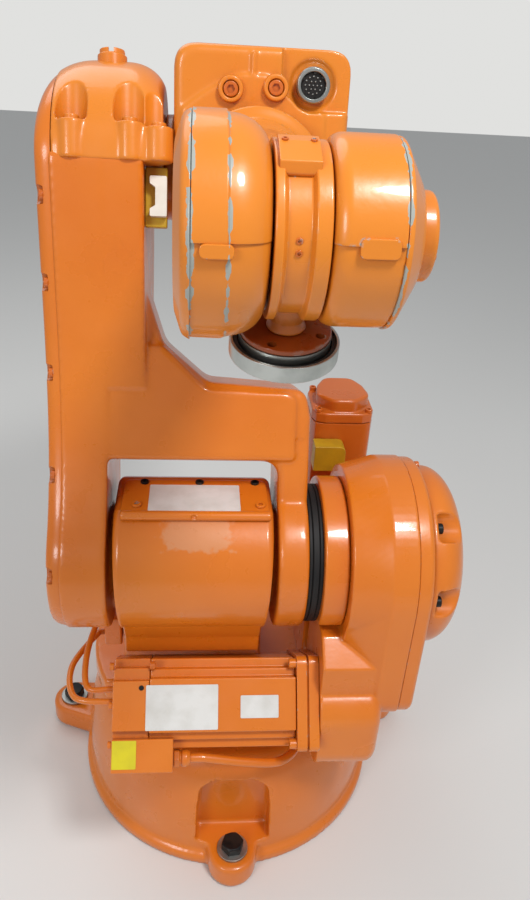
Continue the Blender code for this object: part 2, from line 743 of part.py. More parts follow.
def build_motor_2(axis_1):
    """Build the second axis motor, its ends, its connector box and its cables."""
    tilt = add_axis("motor_2_axis", axis_1, (0.0, MOTOR_2_Y, MOTOR_2_Z), -MOTOR_2_TILT)
    body = notched_square(MOTOR_2_SIDE, MOTOR_2_FACE, MOTOR_2_NOTCH)
    prism("axis2_motor", body, "X", MOTOR_2_BODY_LEFT, MOTOR_2_BODY_RIGHT, ORANGE_PAINT, tilt)
    half = MOTOR_2_SIDE / 2
    end = notched_square(MOTOR_2_SIDE, MOTOR_2_SIDE - 2 * MOTOR_2_END_CUT, MOTOR_2_NOTCH)
    prism("axis2_motor_end", end, "X", MOTOR_2_LEFT, MOTOR_2_BODY_LEFT - SEAT_GAP, ORANGE_PAINT, tilt)
    flange_half = MOTOR_2_FLANGE_SIDE / 2
    flange = rounded_rectangle(-flange_half, flange_half, -flange_half, flange_half, MOTOR_2_NOTCH, 2)
    flange_left = MOTOR_2_BODY_RIGHT + SEAT_GAP
    prism("axis2_motor_flange", flange, "X", flange_left, MOTOR_2_FLANGE_RIGHT, ORANGE_PAINT, tilt)
    low = -half - BOX_DROP
    seat = -half - SEAT_GAP
    box = rectangle(-half, -half + BOX_DEPTH, low, seat)
    piece = prism("axis2_connector_box", box, "X", MOTOR_2_LEFT, BOX_RIGHT, ORANGE_PAINT, tilt)
    soften(piece, BOX_EDGE, 1)
    start = BOX_RIGHT + SEAT_GAP
    end = start + GLAND_LENGTH
    centre = (-half + BOX_DEPTH / 2, (low + seat) / 2)
    gland = [(GLAND_RADIUS, start), (GLAND_RADIUS, end)]
    turned("cable_gland", gland, "X", centre, HEX_SIDES, ORANGE_PAINT, tilt)
    build_cables(axis_1, motor_2_place(end + SEAT_GAP, *centre))


def motor_2_place(x, across, up):
    """Return where a point of the tilted motor lies in the turret's frame."""
    tilt = math.radians(MOTOR_2_TILT)
    y = MOTOR_2_Y + across * math.cos(tilt) + up * math.sin(tilt)
    return (x, y, MOTOR_2_Z - across * math.sin(tilt) + up * math.cos(tilt))


def build_cables(axis_1, gland_end):
    """Build the motor's cable, and the two loops from the terminal block to the motor's end."""
    x, y, z = gland_end
    front = -TURRET_FRONT - SEAT_GAP
    foot = BASE_HEIGHT + MOTOR_CABLE_RISE
    route = [gland_end, (x + MOTOR_CABLE_LEAD, y, z)]
    route += [(x + MOTOR_CABLE_RUN / 2, y, z - MOTOR_CABLE_SAG / 2)]
    route += [(x + MOTOR_CABLE_RUN, y, z - 2 * MOTOR_CABLE_SAG)]
    corner = x + MOTOR_CABLE_RUN + MOTOR_CABLE_TURN
    deep = MOTOR_2_Z - MOTOR_CABLE_DROP
    route += [(corner, y + MOTOR_CABLE_TURN, deep + MOTOR_CABLE_SAG)]
    route += [(corner, MOTOR_2_Y, deep), (corner, (MOTOR_2_Y + front) / 2, foot - MOTOR_CABLE_SAG)]
    route += [(corner, front - MOTOR_CABLE_RADIUS, foot), (corner, front, foot)]
    cable("motor_cable", route, MOTOR_CABLE_RADIUS, axis_1)
    right = CENTRE_LEFT - SEAT_GAP
    low = (right - TERMINAL_WIDTH, -COLUMN_FRONT, TURRET_DECK + TERMINAL_RISE)
    high = (right, TERMINAL_DEPTH - COLUMN_FRONT, TURRET_DECK + TERMINAL_RISE + TERMINAL_HEIGHT)
    soften(block("cable_terminal", low, high, ORANGE_PAINT, axis_1), TERMINAL_EDGE, 1)
    loops = {
        "loop_cable_lower": (LOOP_LOWER_RISE_SHARE, LOOP_LOWER_BULGE, LOOP_LOWER_END_LEAD),
        "loop_cable_upper": (LOOP_UPPER_RISE_SHARE, LOOP_UPPER_BULGE, LOOP_UPPER_END_LEAD),
    }
    for name, (rise_share, bulge, end_lead) in loops.items():
        start_x = low[0] - SEAT_GAP
        start_y = low[1] + TERMINAL_DEPTH / 2
        start_z = low[2] + TERMINAL_HEIGHT * rise_share
        end = (MOTOR_2_LEFT - SEAT_GAP, MOTOR_2_Y - end_lead, MOTOR_2_Z + LOOP_END_RISE)
        reach = start_x - bulge
        middle = (start_y + end[1]) / 2
        route = [(start_x, start_y, start_z), (start_x - LOOP_LEAD, start_y, start_z)]
        back = bulge * LOOP_RETURN_SHARE
        route += [(reach, middle, (start_z + end[2]) / 2), (reach + back, end[1] + back, end[2])]
        route += [(end[0] - LOOP_LEAD, end[1], end[2]), end]
        cable(name, route, LOOP_CABLE_RADIUS, axis_1)


def build_motor_1(axis_1):
    """Build the upright first axis motor with its cap and yellow socket."""
    half = MOTOR_1_SIDE / 2
    left = MOTOR_1_X - half
    right = MOTOR_1_X + half
    near = MOTOR_1_Y - half
    outline = rounded_rectangle(left, right, near, MOTOR_1_Y + half, MOTOR_1_CORNER)
    seat = TURRET_DECK + SEAT_GAP
    prism("axis1_motor", outline, "Z", seat, MOTOR_1_TOP, ORANGE_PAINT, axis_1)
    cap_seat = MOTOR_1_TOP + SEAT_GAP
    cap = prism("axis1_motor_cap", outline, "Z", cap_seat, MOTOR_1_CAP_TOP, ORANGE_PAINT, axis_1)
    soften(cap, CAP_EDGE)
    back = near - SEAT_GAP
    socket_left = left + SOCKET_INSET
    low = (socket_left, back - SOCKET_DEPTH, SOCKET_TOP - SOCKET_HEIGHT)
    high = (socket_left + SOCKET_WIDTH, back, SOCKET_TOP)
    block("axis1_socket", low, high, YELLOW_PLASTIC, axis_1)


def arm_outline(inset):
    """Return the lower arm's side outline: two circles, a straight back and a waisted front."""
    top = (0.0, LOWER_ARM_LENGTH)
    low_radius = LEG_RADIUS - inset
    top_radius = TOP_RADIUS - inset
    lean = math.degrees(math.acos((low_radius - top_radius) / LOWER_ARM_LENGTH))
    upper = arc(top, top_radius, 90 - lean, WAIST_TOP_ANGLE, ARM_ROUND_STEPS)
    lower = arc((0.0, 0.0), low_radius, WAIST_LOW_ANGLE, 450 - lean, ARM_ROUND_STEPS)
    handles = []
    for angle, point, handle in ((WAIST_TOP_ANGLE, upper[-1], WAIST_TOP_HANDLE),
                                 (WAIST_LOW_ANGLE, lower[0], -WAIST_LOW_HANDLE)):
        heading = math.radians(angle + 90)
        handles.append((point[0] + handle * math.cos(heading), point[1] + handle * math.sin(heading)))
    waist = []
    for index in range(1, WAIST_STEPS):
        share = index / WAIST_STEPS
        weights = [(1 - share) ** 3, 3 * share * (1 - share) ** 2, 3 * share**2 * (1 - share), share**3]
        parts = list(zip(weights, (upper[-1], *handles, lower[0])))
        waist.append(tuple(sum(weight * point[axis] for weight, point in parts) for axis in (0, 1)))
    return upper + waist + lower


def build_lower_arm(axis_2):
    """Build the forked arm: left column, crossbar and right leg, with its side cover."""
    side = arm_outline(0.0)
    parting = LOWER_ARM_LENGTH - PARTING_DROP
    lower_side = clip_below(side, parting)
    arm = prism("lower_arm", lower_side, "X", LEFT_LEG_OUTER, LEFT_LEG_INNER, ORANGE_PAINT, axis_2)
    column_side = clip_above(clip_below(arm_outline(JOIN_STEP), parting), CROSSBAR_HIGH)
    column = prism("column_front", column_side, "X", LEFT_LEG_INNER - FUSE, COLUMN_RIGHT)
    front = [(LEFT_LEG_INNER - FUSE, CROSSBAR_LOW)]
    leg_left = RIGHT_LEG_INNER + JOIN_STEP
    leg_right = RIGHT_LEG_OUTER - JOIN_STEP
    centre = (leg_left - WINDOW_ROUND, CROSSBAR_LOW - WINDOW_ROUND)
    front += arc(centre, WINDOW_ROUND, 90, 0, WINDOW_STEPS)
    front += [(leg_left, 0.0), (leg_right, 0.0), (leg_right, RIGHT_CORNER_HEIGHT)]
    front += [(SHOULDER_OUTER, CROSSBAR_HIGH), (SHOULDER_INNER, CROSSBAR_HIGH + ARM_EDGE)]
    front += [(CAP_RIGHT, SHOULDER_HEIGHT), (COLUMN_RIGHT - FUSE, COLUMN_NOTCH_HEIGHT)]
    front += [(LEFT_LEG_INNER - FUSE, COLUMN_NOTCH_HEIGHT)]
    crossbar = prism("crossbar", front, "Y", -CROSSBAR_DEPTH, CROSSBAR_DEPTH)
    face_low = CROSSBAR_LOW + FUSE
    face = [(LEFT_LEG_INNER - FUSE, face_low), (CROSSBAR_FACE_RIGHT, face_low)]
    face += [(CROSSBAR_FACE_RIGHT, CROSSBAR_HIGH - FUSE), (SHOULDER_INNER, CROSSBAR_HIGH)]
    face += [(CAP_RIGHT - FUSE, SHOULDER_HEIGHT - FUSE), (LEFT_LEG_INNER - FUSE, SHOULDER_HEIGHT - FUSE)]
    bar_face = prism("crossbar_face", face, "Y", -CROSSBAR_FACE_DEPTH, 0.0)
    leg = turned("right_leg", [(LEG_RADIUS, RIGHT_LEG_INNER), (LEG_RADIUS, RIGHT_LEG_OUTER)], "X",
                 (0.0, 0.0), ROUND_SIDES)
    join(arm, column, soften(crossbar, ARM_EDGE), bar_face, leg)
    spans = {
        "left_hub": (LEFT_LEG_INNER - FUSE, CENTRE_LEFT - SEAT_GAP),
        "inner_hub": (CENTRE_RIGHT + SEAT_GAP, RIGHT_LEG_INNER + FUSE),
        "outer_hub": (RIGHT_LEG_OUTER - FUSE, WALL_LEFT - SEAT_GAP),
    }
    for name, (low, high) in spans.items():
        join(arm, turned(name, [(HUB_RADIUS, low), (HUB_RADIUS, high)], "X", (0.0, 0.0), SMALL_SIDES))
    cover = prism("side_cover", arm_outline(COVER_INSET), "X", COVER_LEFT, LEFT_LEG_OUTER - SEAT_GAP,
                  ORANGE_PAINT, axis_2)
    soften(cover, COVER_EDGE)
    build_axis_3_cap(axis_2, clip_above(side, parting + SEAT_GAP))
    build_limit_stop(axis_2)


def build_axis_3_cap(axis_2, outline):
    """Build the domed cap on the column's top, with its bolt pockets and lifting plug."""
    cap = prism("axis3_cap", outline, "X", LEFT_LEG_OUTER, CAP_RIGHT, PALE_ORANGE_PAINT, axis_2)
    soften(cap, CAP_ROUND, 3)
    for index, x in enumerate(POCKETS_X):
        profile = [(POCKET_RADIUS, LOWER_ARM_LENGTH + POCKET_RISE)]
        profile += [(POCKET_RADIUS, LOWER_ARM_LENGTH + TOP_RADIUS + OVERRUN)]
        centre = (x, -TOP_RADIUS + POCKET_INSET)
        cut(cap, turned(f"bolt_pocket_{index + 1}", profile, "Z", centre, SMALL_SIDES))
    drop = TOP_RADIUS - math.sqrt(TOP_RADIUS**2 - TOP_PLUG_FORWARD**2)
    top = LOWER_ARM_LENGTH + TOP_RADIUS
    foot = top - drop - TOP_PLUG_COLLAR
    centre = (TOP_PLUG_X, -TOP_PLUG_FORWARD)
    bore = TOP_PLUG_RADIUS + SEAT_GAP
    hole = [(bore, foot - SEAT_GAP), (bore, top + OVERRUN)]
    cut(cap, turned("plug_hole", hole, "Z", centre, SMALL_SIDES))
    profile = [(TOP_PLUG_RADIUS, foot), (TOP_PLUG_RADIUS, top + TOP_PLUG_HEIGHT)]
    turned("top_plug", profile, "Z", centre, SMALL_SIDES, PALE_ORANGE_PAINT, axis_2)


def build_limit_stop(axis_2):
    """Build the yellow plate on the column's right face, and its white block."""
    left = COLUMN_RIGHT + SEAT_GAP
    high = LOWER_ARM_LENGTH - PARTING_DROP - SEAT_GAP
    low = high - YELLOW_HEIGHT
    block("arm_yellow_cap", (left, -YELLOW_FRONT, low), (YELLOW_RIGHT, -YELLOW_BACK, high), YELLOW_PLASTIC,
          axis_2)
    front = -YELLOW_FRONT - SEAT_GAP
    middle = (low + high) / 2
    half = WHITE_HEIGHT / 2
    block("arm_white_block", (YELLOW_RIGHT - WHITE_WIDTH, front - WHITE_DEPTH, middle - half),
          (YELLOW_RIGHT, front, middle + half), WHITE_PLASTIC, axis_2)


def build_upper_arm(axis_3):
    """Build the motor housing that turns on the third axis, with its connector."""
    low = (UPPER_LEFT, -UPPER_FRONT, -UPPER_LOW)
    high = (UPPER_RIGHT, UPPER_BACK, UPPER_HIGH)
    housing = block("upper_arm_housing", low, high, PALE_ORANGE_PAINT, axis_3)
    soften(housing, UPPER_ROUND, 3)
    hub = [(HUB_RADIUS, CAP_RIGHT + SEAT_GAP), (HUB_RADIUS, UPPER_LEFT + UPPER_ROUND)]
    join(housing, turned("axis3_hub", hub, "X", (0.0, 0.0), ROUND_SIDES))
    floor = -UPPER_FRONT + CONNECTOR_RECESS
    right = UPPER_RIGHT + OVERRUN
    centre = (RECESS_LEFT + RECESS_CORNER, RECESS_LOW + RECESS_CORNER)
    recess = arc(centre, RECESS_CORNER, 180, 270, RECESS_STEPS)
    recess += [(right, RECESS_LOW), (right, UPPER_HIGH + OVERRUN), (RECESS_LEFT, UPPER_HIGH + OVERRUN)]
    cut(housing, prism("connector_recess", recess, "Y", -UPPER_FRONT - OVERRUN, floor))
    centre = (CONNECTOR_X, CONNECTOR_Z)
    seat = floor - SEAT_GAP
    face = seat - CONNECTOR_REACH
    ring = turned("arm_connector_ring", [(CONNECTOR_RADIUS, seat), (CONNECTOR_RADIUS, face)], "Y", centre,
                  SMALL_SIDES, BARE_STEEL, axis_3)
    bore = [(CONNECTOR_BORE_RADIUS, seat + OVERRUN), (CONNECTOR_BORE_RADIUS, face - OVERRUN)]
    cut(ring, turned("connector_bore", bore, "Y", centre, SMALL_SIDES))
    insert = CONNECTOR_BORE_RADIUS - SEAT_GAP
    turned("arm_connector_insert", [(insert, seat), (insert, (seat + face) / 2)], "Y", centre, SMALL_SIDES,
           BLACK_PLASTIC, axis_3)
    seat = UPPER_BACK + SEAT_GAP
    middle_line = (UPPER_LEFT + UPPER_RIGHT) / 2
    half = REAR_COVER_SIDE / 2
    for side, name in ((-1, "rear_motor_cover_left"), (1, "rear_motor_cover_right")):
        middle = middle_line + side * (half + SEAT_GAP)
        outline = rounded_rectangle(middle - half, middle + half, -half, half, REAR_COVER_ROUND)
        prism(name, outline, "Y", seat, REAR_COVER_REACH, PALE_ORANGE_PAINT, axis_3)


def build_forearm(axis_4):
    """Build the tube that rolls, ending in the wrist's two drums."""
    start = -UPPER_FRONT - SEAT_GAP
    collar = start - COLLAR_LENGTH
    profile = [(COLLAR_RADIUS, start), (COLLAR_RADIUS, collar), (NECK_BIG_RADIUS, collar - COLLAR_EDGE)]
    profile += [(NECK_SMALL_RADIUS, NECK_TAPER_END - FOREARM_LENGTH)]
    profile += [(NECK_SMALL_RADIUS, NECK_ROOT - FOREARM_LENGTH)]
    arm = turned("forearm_casting", profile, "Y", (0.0, 0.0), ROUND_SIDES, PALE_ORANGE_PAINT, axis_4)
    wrist = (-FOREARM_LENGTH, 0.0)
    drums = {
        "left_drum": (LEFT_DRUM_RADIUS, LEFT_CHEEK_INNER, SLOT_LEFT),
        "right_drum": (RIGHT_DRUM_RADIUS, SLOT_RIGHT, RIGHT_CHEEK_INNER),
    }
    for name, (radius, low, high) in drums.items():
        join(arm, turned(name, [(radius, low), (radius, high)], "X", wrist, ROUND_SIDES))
    tall = LEFT_DRUM_RADIUS + OVERRUN
    slot_low = (SLOT_LEFT + SLOT_INSET, -FOREARM_LENGTH - tall, -tall)
    slot_high = (SLOT_RIGHT - SLOT_INSET, -FOREARM_LENGTH + SLOT_BACK, tall)
    cut(arm, block("wrist_slot", slot_low, slot_high))
    inner = LEFT_CHEEK_INNER - SEAT_GAP
    profile = [(LEFT_DRUM_RADIUS, inner), (LEFT_DRUM_RADIUS, DRUM_LEFT + CHEEK_EDGE)]
    profile += [(LEFT_DRUM_RADIUS - CHEEK_CREASE, DRUM_LEFT + CHEEK_CREASE)]
    profile += [(LEFT_DRUM_RADIUS - CHEEK_EDGE, DRUM_LEFT)]
    turned("left_cheek", profile, "X", wrist, ROUND_SIDES, PALE_ORANGE_PAINT, axis_4)
    inner = RIGHT_CHEEK_INNER + SEAT_GAP
    profile = [(RIGHT_DRUM_RADIUS, inner), (RIGHT_DRUM_RADIUS, inner + FUSE)]
    profile += [(CHEEK_FACE_RADIUS, RIGHT_CHEEK_OUTER)]
    turned("right_cheek", profile, "X", wrist, ROUND_SIDES, PALE_ORANGE_PAINT, axis_4)
    boss = [(BOSS_RADIUS, RIGHT_CHEEK_OUTER + SEAT_GAP), (BOSS_RADIUS, BOSS_RIGHT)]
    turned("wrist_end_boss", boss, "X", wrist, SMALL_SIDES, PALE_ORANGE_PAINT, axis_4)


def build_wrist(axis_5):
    """Build the tilting unit between the drums."""
    left = SLOT_LEFT + TILT_GAP
    right = SLOT_RIGHT - TILT_GAP
    disc = turned("wrist_tilt", [(TILT_RADIUS, left), (TILT_RADIUS, right)], "X", (0.0, 0.0), ROUND_SIDES,
                  PALE_ORANGE_PAINT, axis_5)
    face = -FLANGE_REACH + FLANGE_THICKNESS + SEAT_GAP
    stem = rectangle(left + TILT_STEM_INSET, right - TILT_STEM_INSET, -TILT_STEM_HALF, TILT_STEM_HALF)
    join(disc, prism("tilt_stem", stem, "Z", face, 0.0))


def build_flange(axis_6):
    """Build the turning tool flange: a painted disc in a bare steel ring."""
    low = -FLANGE_REACH
    high = low + FLANGE_THICKNESS
    floor = low + FLANGE_THICKNESS / 2
    profile = [(0.0, high), (FLANGE_DISC_RADIUS, high), (FLANGE_DISC_RADIUS, low)]
    profile += [(FLANGE_BORE_RADIUS, low), (FLANGE_BORE_RADIUS, floor), (0.0, floor)]
    turned("flange_disc", profile, "Z", (0.0, 0.0), ROUND_SIDES, ORANGE_PAINT, axis_6)
    inner = FLANGE_DISC_RADIUS + SEAT_GAP
    ring = turned("flange_ring", [(FLANGE_RING_RADIUS, low), (FLANGE_RING_RADIUS, high)], "Z", (0.0, 0.0),
                  ROUND_SIDES, BARE_STEEL, axis_6)
    hole = [(inner, low - OVERRUN), (inner, high + OVERRUN)]
    cut(ring, turned("ring_bore", hole, "Z", (0.0, 0.0), ROUND_SIDES))


def build_robot():
    """Build every body under its joint's axis."""
    clear_scene()
    axis_1 = add_axis("axis_1", None, (0.0, 0.0, 0.0), 0)
    axis_2 = add_axis("axis_2", axis_1, (0.0, -AXIS_2_OFFSET, AXIS_2_HEIGHT), -LOWER_ARM_LEAN)
    axis_3 = add_axis("axis_3", axis_2, (0.0, 0.0, LOWER_ARM_LENGTH), LOWER_ARM_LEAN - FOREARM_PITCH)
    axis_4 = add_axis("axis_4", axis_3, (0.0, 0.0, 0.0), 0)
    axis_5 = add_axis("axis_5", axis_4, (0.0, -FOREARM_LENGTH, 0.0), FOREARM_PITCH + FLANGE_TUCK)
    axis_6 = add_axis("axis_6", axis_5, (0.0, 0.0, 0.0), 0)
    build_base()
    build_turret(axis_1)
    build_gearbox(axis_1)
    build_motor_2(axis_1)
    build_motor_1(axis_1)
    build_lower_arm(axis_2)
    build_upper_arm(axis_3)
    build_forearm(axis_4)
    build_wrist(axis_5)
    build_flange(axis_6)


build_robot()
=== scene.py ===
"""Looks of a compact six-axis industrial robot arm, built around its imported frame.

Every piece is shaped as its maker would shape it: castings are fused from their plain
solids and then rounded all over, turned pieces come from a profile, and plates from an
outline. Lengths are in metres, angles in degrees.
"""

import json
import logging
import math
from collections.abc import Iterable, Sequence
from dataclasses import dataclass
from enum import Enum

import bmesh
import bpy
from mathutils import Matrix, Vector


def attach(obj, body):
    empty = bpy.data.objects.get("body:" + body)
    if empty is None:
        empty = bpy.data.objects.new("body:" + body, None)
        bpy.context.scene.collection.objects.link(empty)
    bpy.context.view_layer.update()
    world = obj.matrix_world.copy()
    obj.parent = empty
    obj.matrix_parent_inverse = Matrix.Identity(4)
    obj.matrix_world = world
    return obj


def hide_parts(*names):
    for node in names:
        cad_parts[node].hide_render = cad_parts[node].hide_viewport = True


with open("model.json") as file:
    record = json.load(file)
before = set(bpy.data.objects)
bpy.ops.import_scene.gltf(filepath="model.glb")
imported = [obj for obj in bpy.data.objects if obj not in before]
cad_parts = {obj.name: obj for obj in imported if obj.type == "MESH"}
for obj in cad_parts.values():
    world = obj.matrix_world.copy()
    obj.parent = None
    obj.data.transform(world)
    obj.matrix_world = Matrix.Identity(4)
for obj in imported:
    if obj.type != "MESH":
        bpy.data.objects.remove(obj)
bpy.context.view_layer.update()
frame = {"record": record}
RECORD = frame["record"]
BODY_OF = {node: body for body, nodes in RECORD["behaviour"]["bodies"].items() for node in nodes}
LOG = logging.getLogger("robot_arm")

Point = tuple[float, float]
Triple = tuple[float, float, float]

ROUND = 96
SMALL = 40
HEX = 6
GAP = 0.0003
OVERRUN = 0.010
SHARP = math.radians(38)


class Axis(Enum):
    """The axis that a prism runs along, or that a turned piece is turned about."""

    X = 0
    Y = 1
    Z = 2

    def place(self, point: Point, level: float) -> Triple:
        """Return a flat point's place in space, at a level along this axis."""
        first, second = point
        return ((level, first, second), (first, level, second), (first, second, level))[self.value]


@dataclass(frozen=True)
class Place:
    """Where a tilted body's own frame stands: its origin and its turn about X."""

    origin: Triple = (0.0, 0.0, 0.0)
    tilt: float = 0.0

    def matrix(self) -> Matrix:
        """Return the matrix that takes the body's own frame into the part's frame."""
        return Matrix.Translation(self.origin) @ Matrix.Rotation(math.radians(self.tilt), 4, "X")


FLOOR = Place()
AXIS_2 = Place((0.0, -0.070, 0.352), -20.0)
AXIS_3 = Place((0.0, 0.053127, 0.690289), -6.4)
AXIS_5 = Place((0.0, -0.324505, 0.732648), 10.5)
MOTOR_2 = Place((0.0, -0.1335, 0.2148), -40.0)


# --------------------------------------------------------------------------- outlines


def arc(centre: Point, radius: float, start: float, end: float, steps: int) -> list[Point]:
    """Return points along an arc.

    Args:
        centre: The arc's centre.
        radius: Its radius.
        start: The first point's angle.
        end: The last point's angle.
        steps: How many straight pieces stand for the arc.

    Returns:
        One point more than there are steps.
    """
    angles = [math.radians(start + (end - start) * index / steps) for index in range(steps + 1)]
    return [(centre[0] + radius * math.cos(a), centre[1] + radius * math.sin(a)) for a in angles]


def rounded(points: Sequence[Point], radius: float | Sequence[float], closed: bool = True,
            steps: int = 5) -> list[Point]:
    """Round the corners of an outline or a profile.

    Args:
        points: The corners in order.
        radius: One radius for all corners, or one for each; nought keeps a corner sharp.
        closed: True for an outline, False for a profile whose ends stay.
        steps: Straight pieces to a corner.

    Returns:
        The rounded line.
    """
    radii = [radius] * len(points) if isinstance(radius, float) else list(radius)
    line: list[Point] = []
    for index, corner in enumerate(points):
        last = index in (0, len(points) - 1) and not closed
        if last or radii[index] == 0:
            line.append(corner)
            continue
        here = Vector(corner)
        back = Vector(points[index - 1]) - here
        ahead = Vector(points[(index + 1) % len(points)]) - here
        angle = back.angle(ahead, math.pi)
        if angle > math.radians(176):
            line.append(corner)
            continue
        reach = min(radii[index] / math.tan(angle / 2), back.length * 0.49, ahead.length * 0.49)
        first, second = here + back.normalized() * reach, here + ahead.normalized() * reach
        for step in range(steps + 1):
            share = step / steps
            point = first * (1 - share) ** 2 + here * (2 * share * (1 - share)) + second * share**2
            line.append((point.x, point.y))
    return line


def box_outline(left: float, right: float, low: float, high: float, corner: float = 0.0) -> list[Point]:
    """Return a rectangle's outline, with round corners if a radius is given."""
    points = [(left, low), (right, low), (right, high), (left, high)]
    return rounded(points, corner) if corner else points


def hull(first: Point, first_radius: float, second: Point, second_radius: float) -> list[Point]:
    """Return the outline round two circles and the tangents that join them."""
    run = Vector(second) - Vector(first)
    heading = math.degrees(math.atan2(run.y, run.x))
    lean = math.degrees(math.acos((first_radius - second_radius) / run.length))
    points = arc(second, second_radius, heading - lean, heading + lean, 32)
    return points + arc(first, first_radius, heading + lean, heading + 360 - lean, 56)


def clipped(outline: Sequence[Point], height: float, above: bool) -> list[Point]:
    """Keep the part of an outline that is above or below a height."""
    sign = -1.0 if above else 1.0
    kept: list[Point] = []
    for index, point in enumerate(outline):
        before = outline[index - 1]
        if (sign * before[1] > sign * height) != (sign * point[1] > sign * height):
            share = (height - before[1]) / (point[1] - before[1])
            kept.append((before[0] + share * (point[0] - before[0]), height))
        if sign * point[1] <= sign * height:
            kept.append(point)
    return kept


def notched(side: float, face: float, notch: float) -> list[Point]:
    """Return a square whose corners step back round the tie bolts of a motor."""
    half, flat, inner = side / 2, face / 2, side / 2 - notch
    corner = [(half, -flat), (half, flat), (inner, flat), (inner, inner), (flat, inner)]
    turns = ((1, 0), (0, 1), (-1, 0), (0, -1))
    return [(a * c - b * s, a * s + b * c) for c, s in turns for a, b in corner]


# --------------------------------------------------------------------------- solids


class Solid:
    """A piece in the making, with the workshop steps that shape it."""

    def __init__(self, tool: bmesh.types.BMesh) -> None:
        """Take over a finished bmesh."""
        bmesh.ops.recalc_face_normals(tool, faces=tool.faces)
        mesh = bpy.data.meshes.new("work")
        tool.to_mesh(mesh)
        tool.free()
        self.item = bpy.data.objects.new("work", mesh)
        self.is_cast = False
        bpy.context.scene.collection.objects.link(self.item)

    @classmethod
    def loft(cls: type["Solid"], sections: Iterable[tuple[Sequence[Point], float]], axis: Axis) -> "Solid":
        """Join outlines with equally many points, each at its own level."""
        tool = bmesh.new()
        rings = [[tool.verts.new(axis.place(point, level)) for point in outline]
                 for outline, level in sections]
        tool.faces.new(rings[0])
        tool.faces.new(rings[-1])
        for ring, other in zip(rings, rings[1:]):
            for index in range(len(ring)):
                after = (index + 1) % len(ring)
                tool.faces.new((ring[index], ring[after], other[after], other[index]))
        return cls(tool)

    @classmethod
    def prism(cls: type["Solid"], outline: Sequence[Point], axis: Axis, low: float, high: float) -> "Solid":
        """Run an outline along an axis from one level to another."""
        return cls.loft([(outline, low), (outline, high)], axis)

    @classmethod
    def block(cls: type["Solid"], low: Triple, high: Triple, edge: float = 0.0) -> "Solid":
        """Make a box between two corners, with rounded edges if a width is given."""
        made = cls.prism(box_outline(low[0], high[0], low[1], high[1]), Axis.Z, low[2], high[2])
        return made.bevel(edge) if edge else made

    @classmethod
    def turned(cls: type["Solid"], profile: Sequence[Point], axis: Axis, centre: Point = (0.0, 0.0),
               sides: int = ROUND) -> "Solid":
        """Turn a profile of (radius, level) points about an axis."""
        tool = bmesh.new()
        rings = []
        for radius, level in profile:
            count = sides if radius > 0 else 1
            angles = [math.tau * index / sides for index in range(count)]
            points = [(centre[0] + radius * math.cos(a), centre[1] + radius * math.sin(a)) for a in angles]
            rings.append([tool.verts.new(axis.place(point, level)) for point in points])
        for ring, other in zip(rings, rings[1:]):
            for index in range(sides):
                after = (index + 1) % sides
                corners = [ring[index % len(ring)], ring[after % len(ring)]]
                corners += [other[after % len(other)], other[index % len(other)]]
                if len(set(corners)) > 2:
                    tool.faces.new(list(dict.fromkeys(corners)))
        for ring in (rings[0], rings[-1]):
            if len(ring) > 1:
                tool.faces.new(ring)
        return cls(tool)

    def changed(self, kind: str, **settings: object) -> "Solid":
        """Add a modifier with its settings and apply it."""
        change = self.item.modifiers.new(kind, kind)
        for key, value in settings.items():
            setattr(change, key, value)
        bpy.context.view_layer.update()
        graph = bpy.context.evaluated_depsgraph_get()
        mesh = bpy.data.meshes.new_from_object(self.item.evaluated_get(graph))
        old = self.item.data
        self.item.modifiers.clear()
        self.item.data = mesh
        bpy.data.meshes.remove(old)
        return self

    def bevel(self, width: float, segments: int = 3) -> "Solid":
        """Round the sharp edges."""
        return self.changed("BEVEL", width=width, segments=segments, limit_method="ANGLE",
                            angle_limit=math.radians(30), use_clamp_overlap=True)

    def cut(self, *tools: "Solid") -> "Solid":
        """Take tools away from the piece."""
        for tool in tools:
            self.changed("BOOLEAN", operation="DIFFERENCE", solver="EXACT", object=tool.item)
            tool.scrap()
        return self

    def fuse(self, *tools: "Solid") -> "Solid":
        """Add other shells to the piece, before casting makes them one."""
        joined = bmesh.new()
        joined.from_mesh(self.item.data)
        for tool in tools:
            joined.from_mesh(tool.item.data)
            tool.scrap()
        joined.to_mesh(self.item.data)
        joined.free()
        return self

    def cast(self, grain: float, passes: int, keep: float = 0.5) -> "Solid":
        """Make one skin of all shells, with its corners run round as in a sand casting.

        Args:
            grain: Size of the skin's facets.
            passes: Rounds of smoothing, which set the radius of the corners.
            keep: Share of the facets that are kept.

        Returns:
            The piece.
        """
        self.changed("REMESH", mode="VOXEL", voxel_size=grain, adaptivity=0.0)
        self.changed("SMOOTH", factor=0.5, iterations=passes)
        if keep < 1:
            self.changed("DECIMATE", decimate_type="COLLAPSE", ratio=keep)
        self.is_cast = True
        return self

    def moved(self, matrix: Matrix) -> "Solid":
        """Move the piece by a matrix."""
        self.item.data.transform(matrix)
        return self

    def repeated(self, matrices: Sequence[Matrix]) -> "Solid":
        """Put one copy of the piece at each matrix, in place of the piece itself."""
        joined = bmesh.new()
        for matrix in matrices:
            copy = self.item.data.copy()
            copy.transform(matrix)
            joined.from_mesh(copy)
            bpy.data.meshes.remove(copy)
        joined.to_mesh(self.item.data)
        joined.free()
        return self

    def scrap(self) -> None:
        """Throw the piece away."""
        mesh = self.item.data
        bpy.data.objects.remove(self.item)
        bpy.data.meshes.remove(mesh)

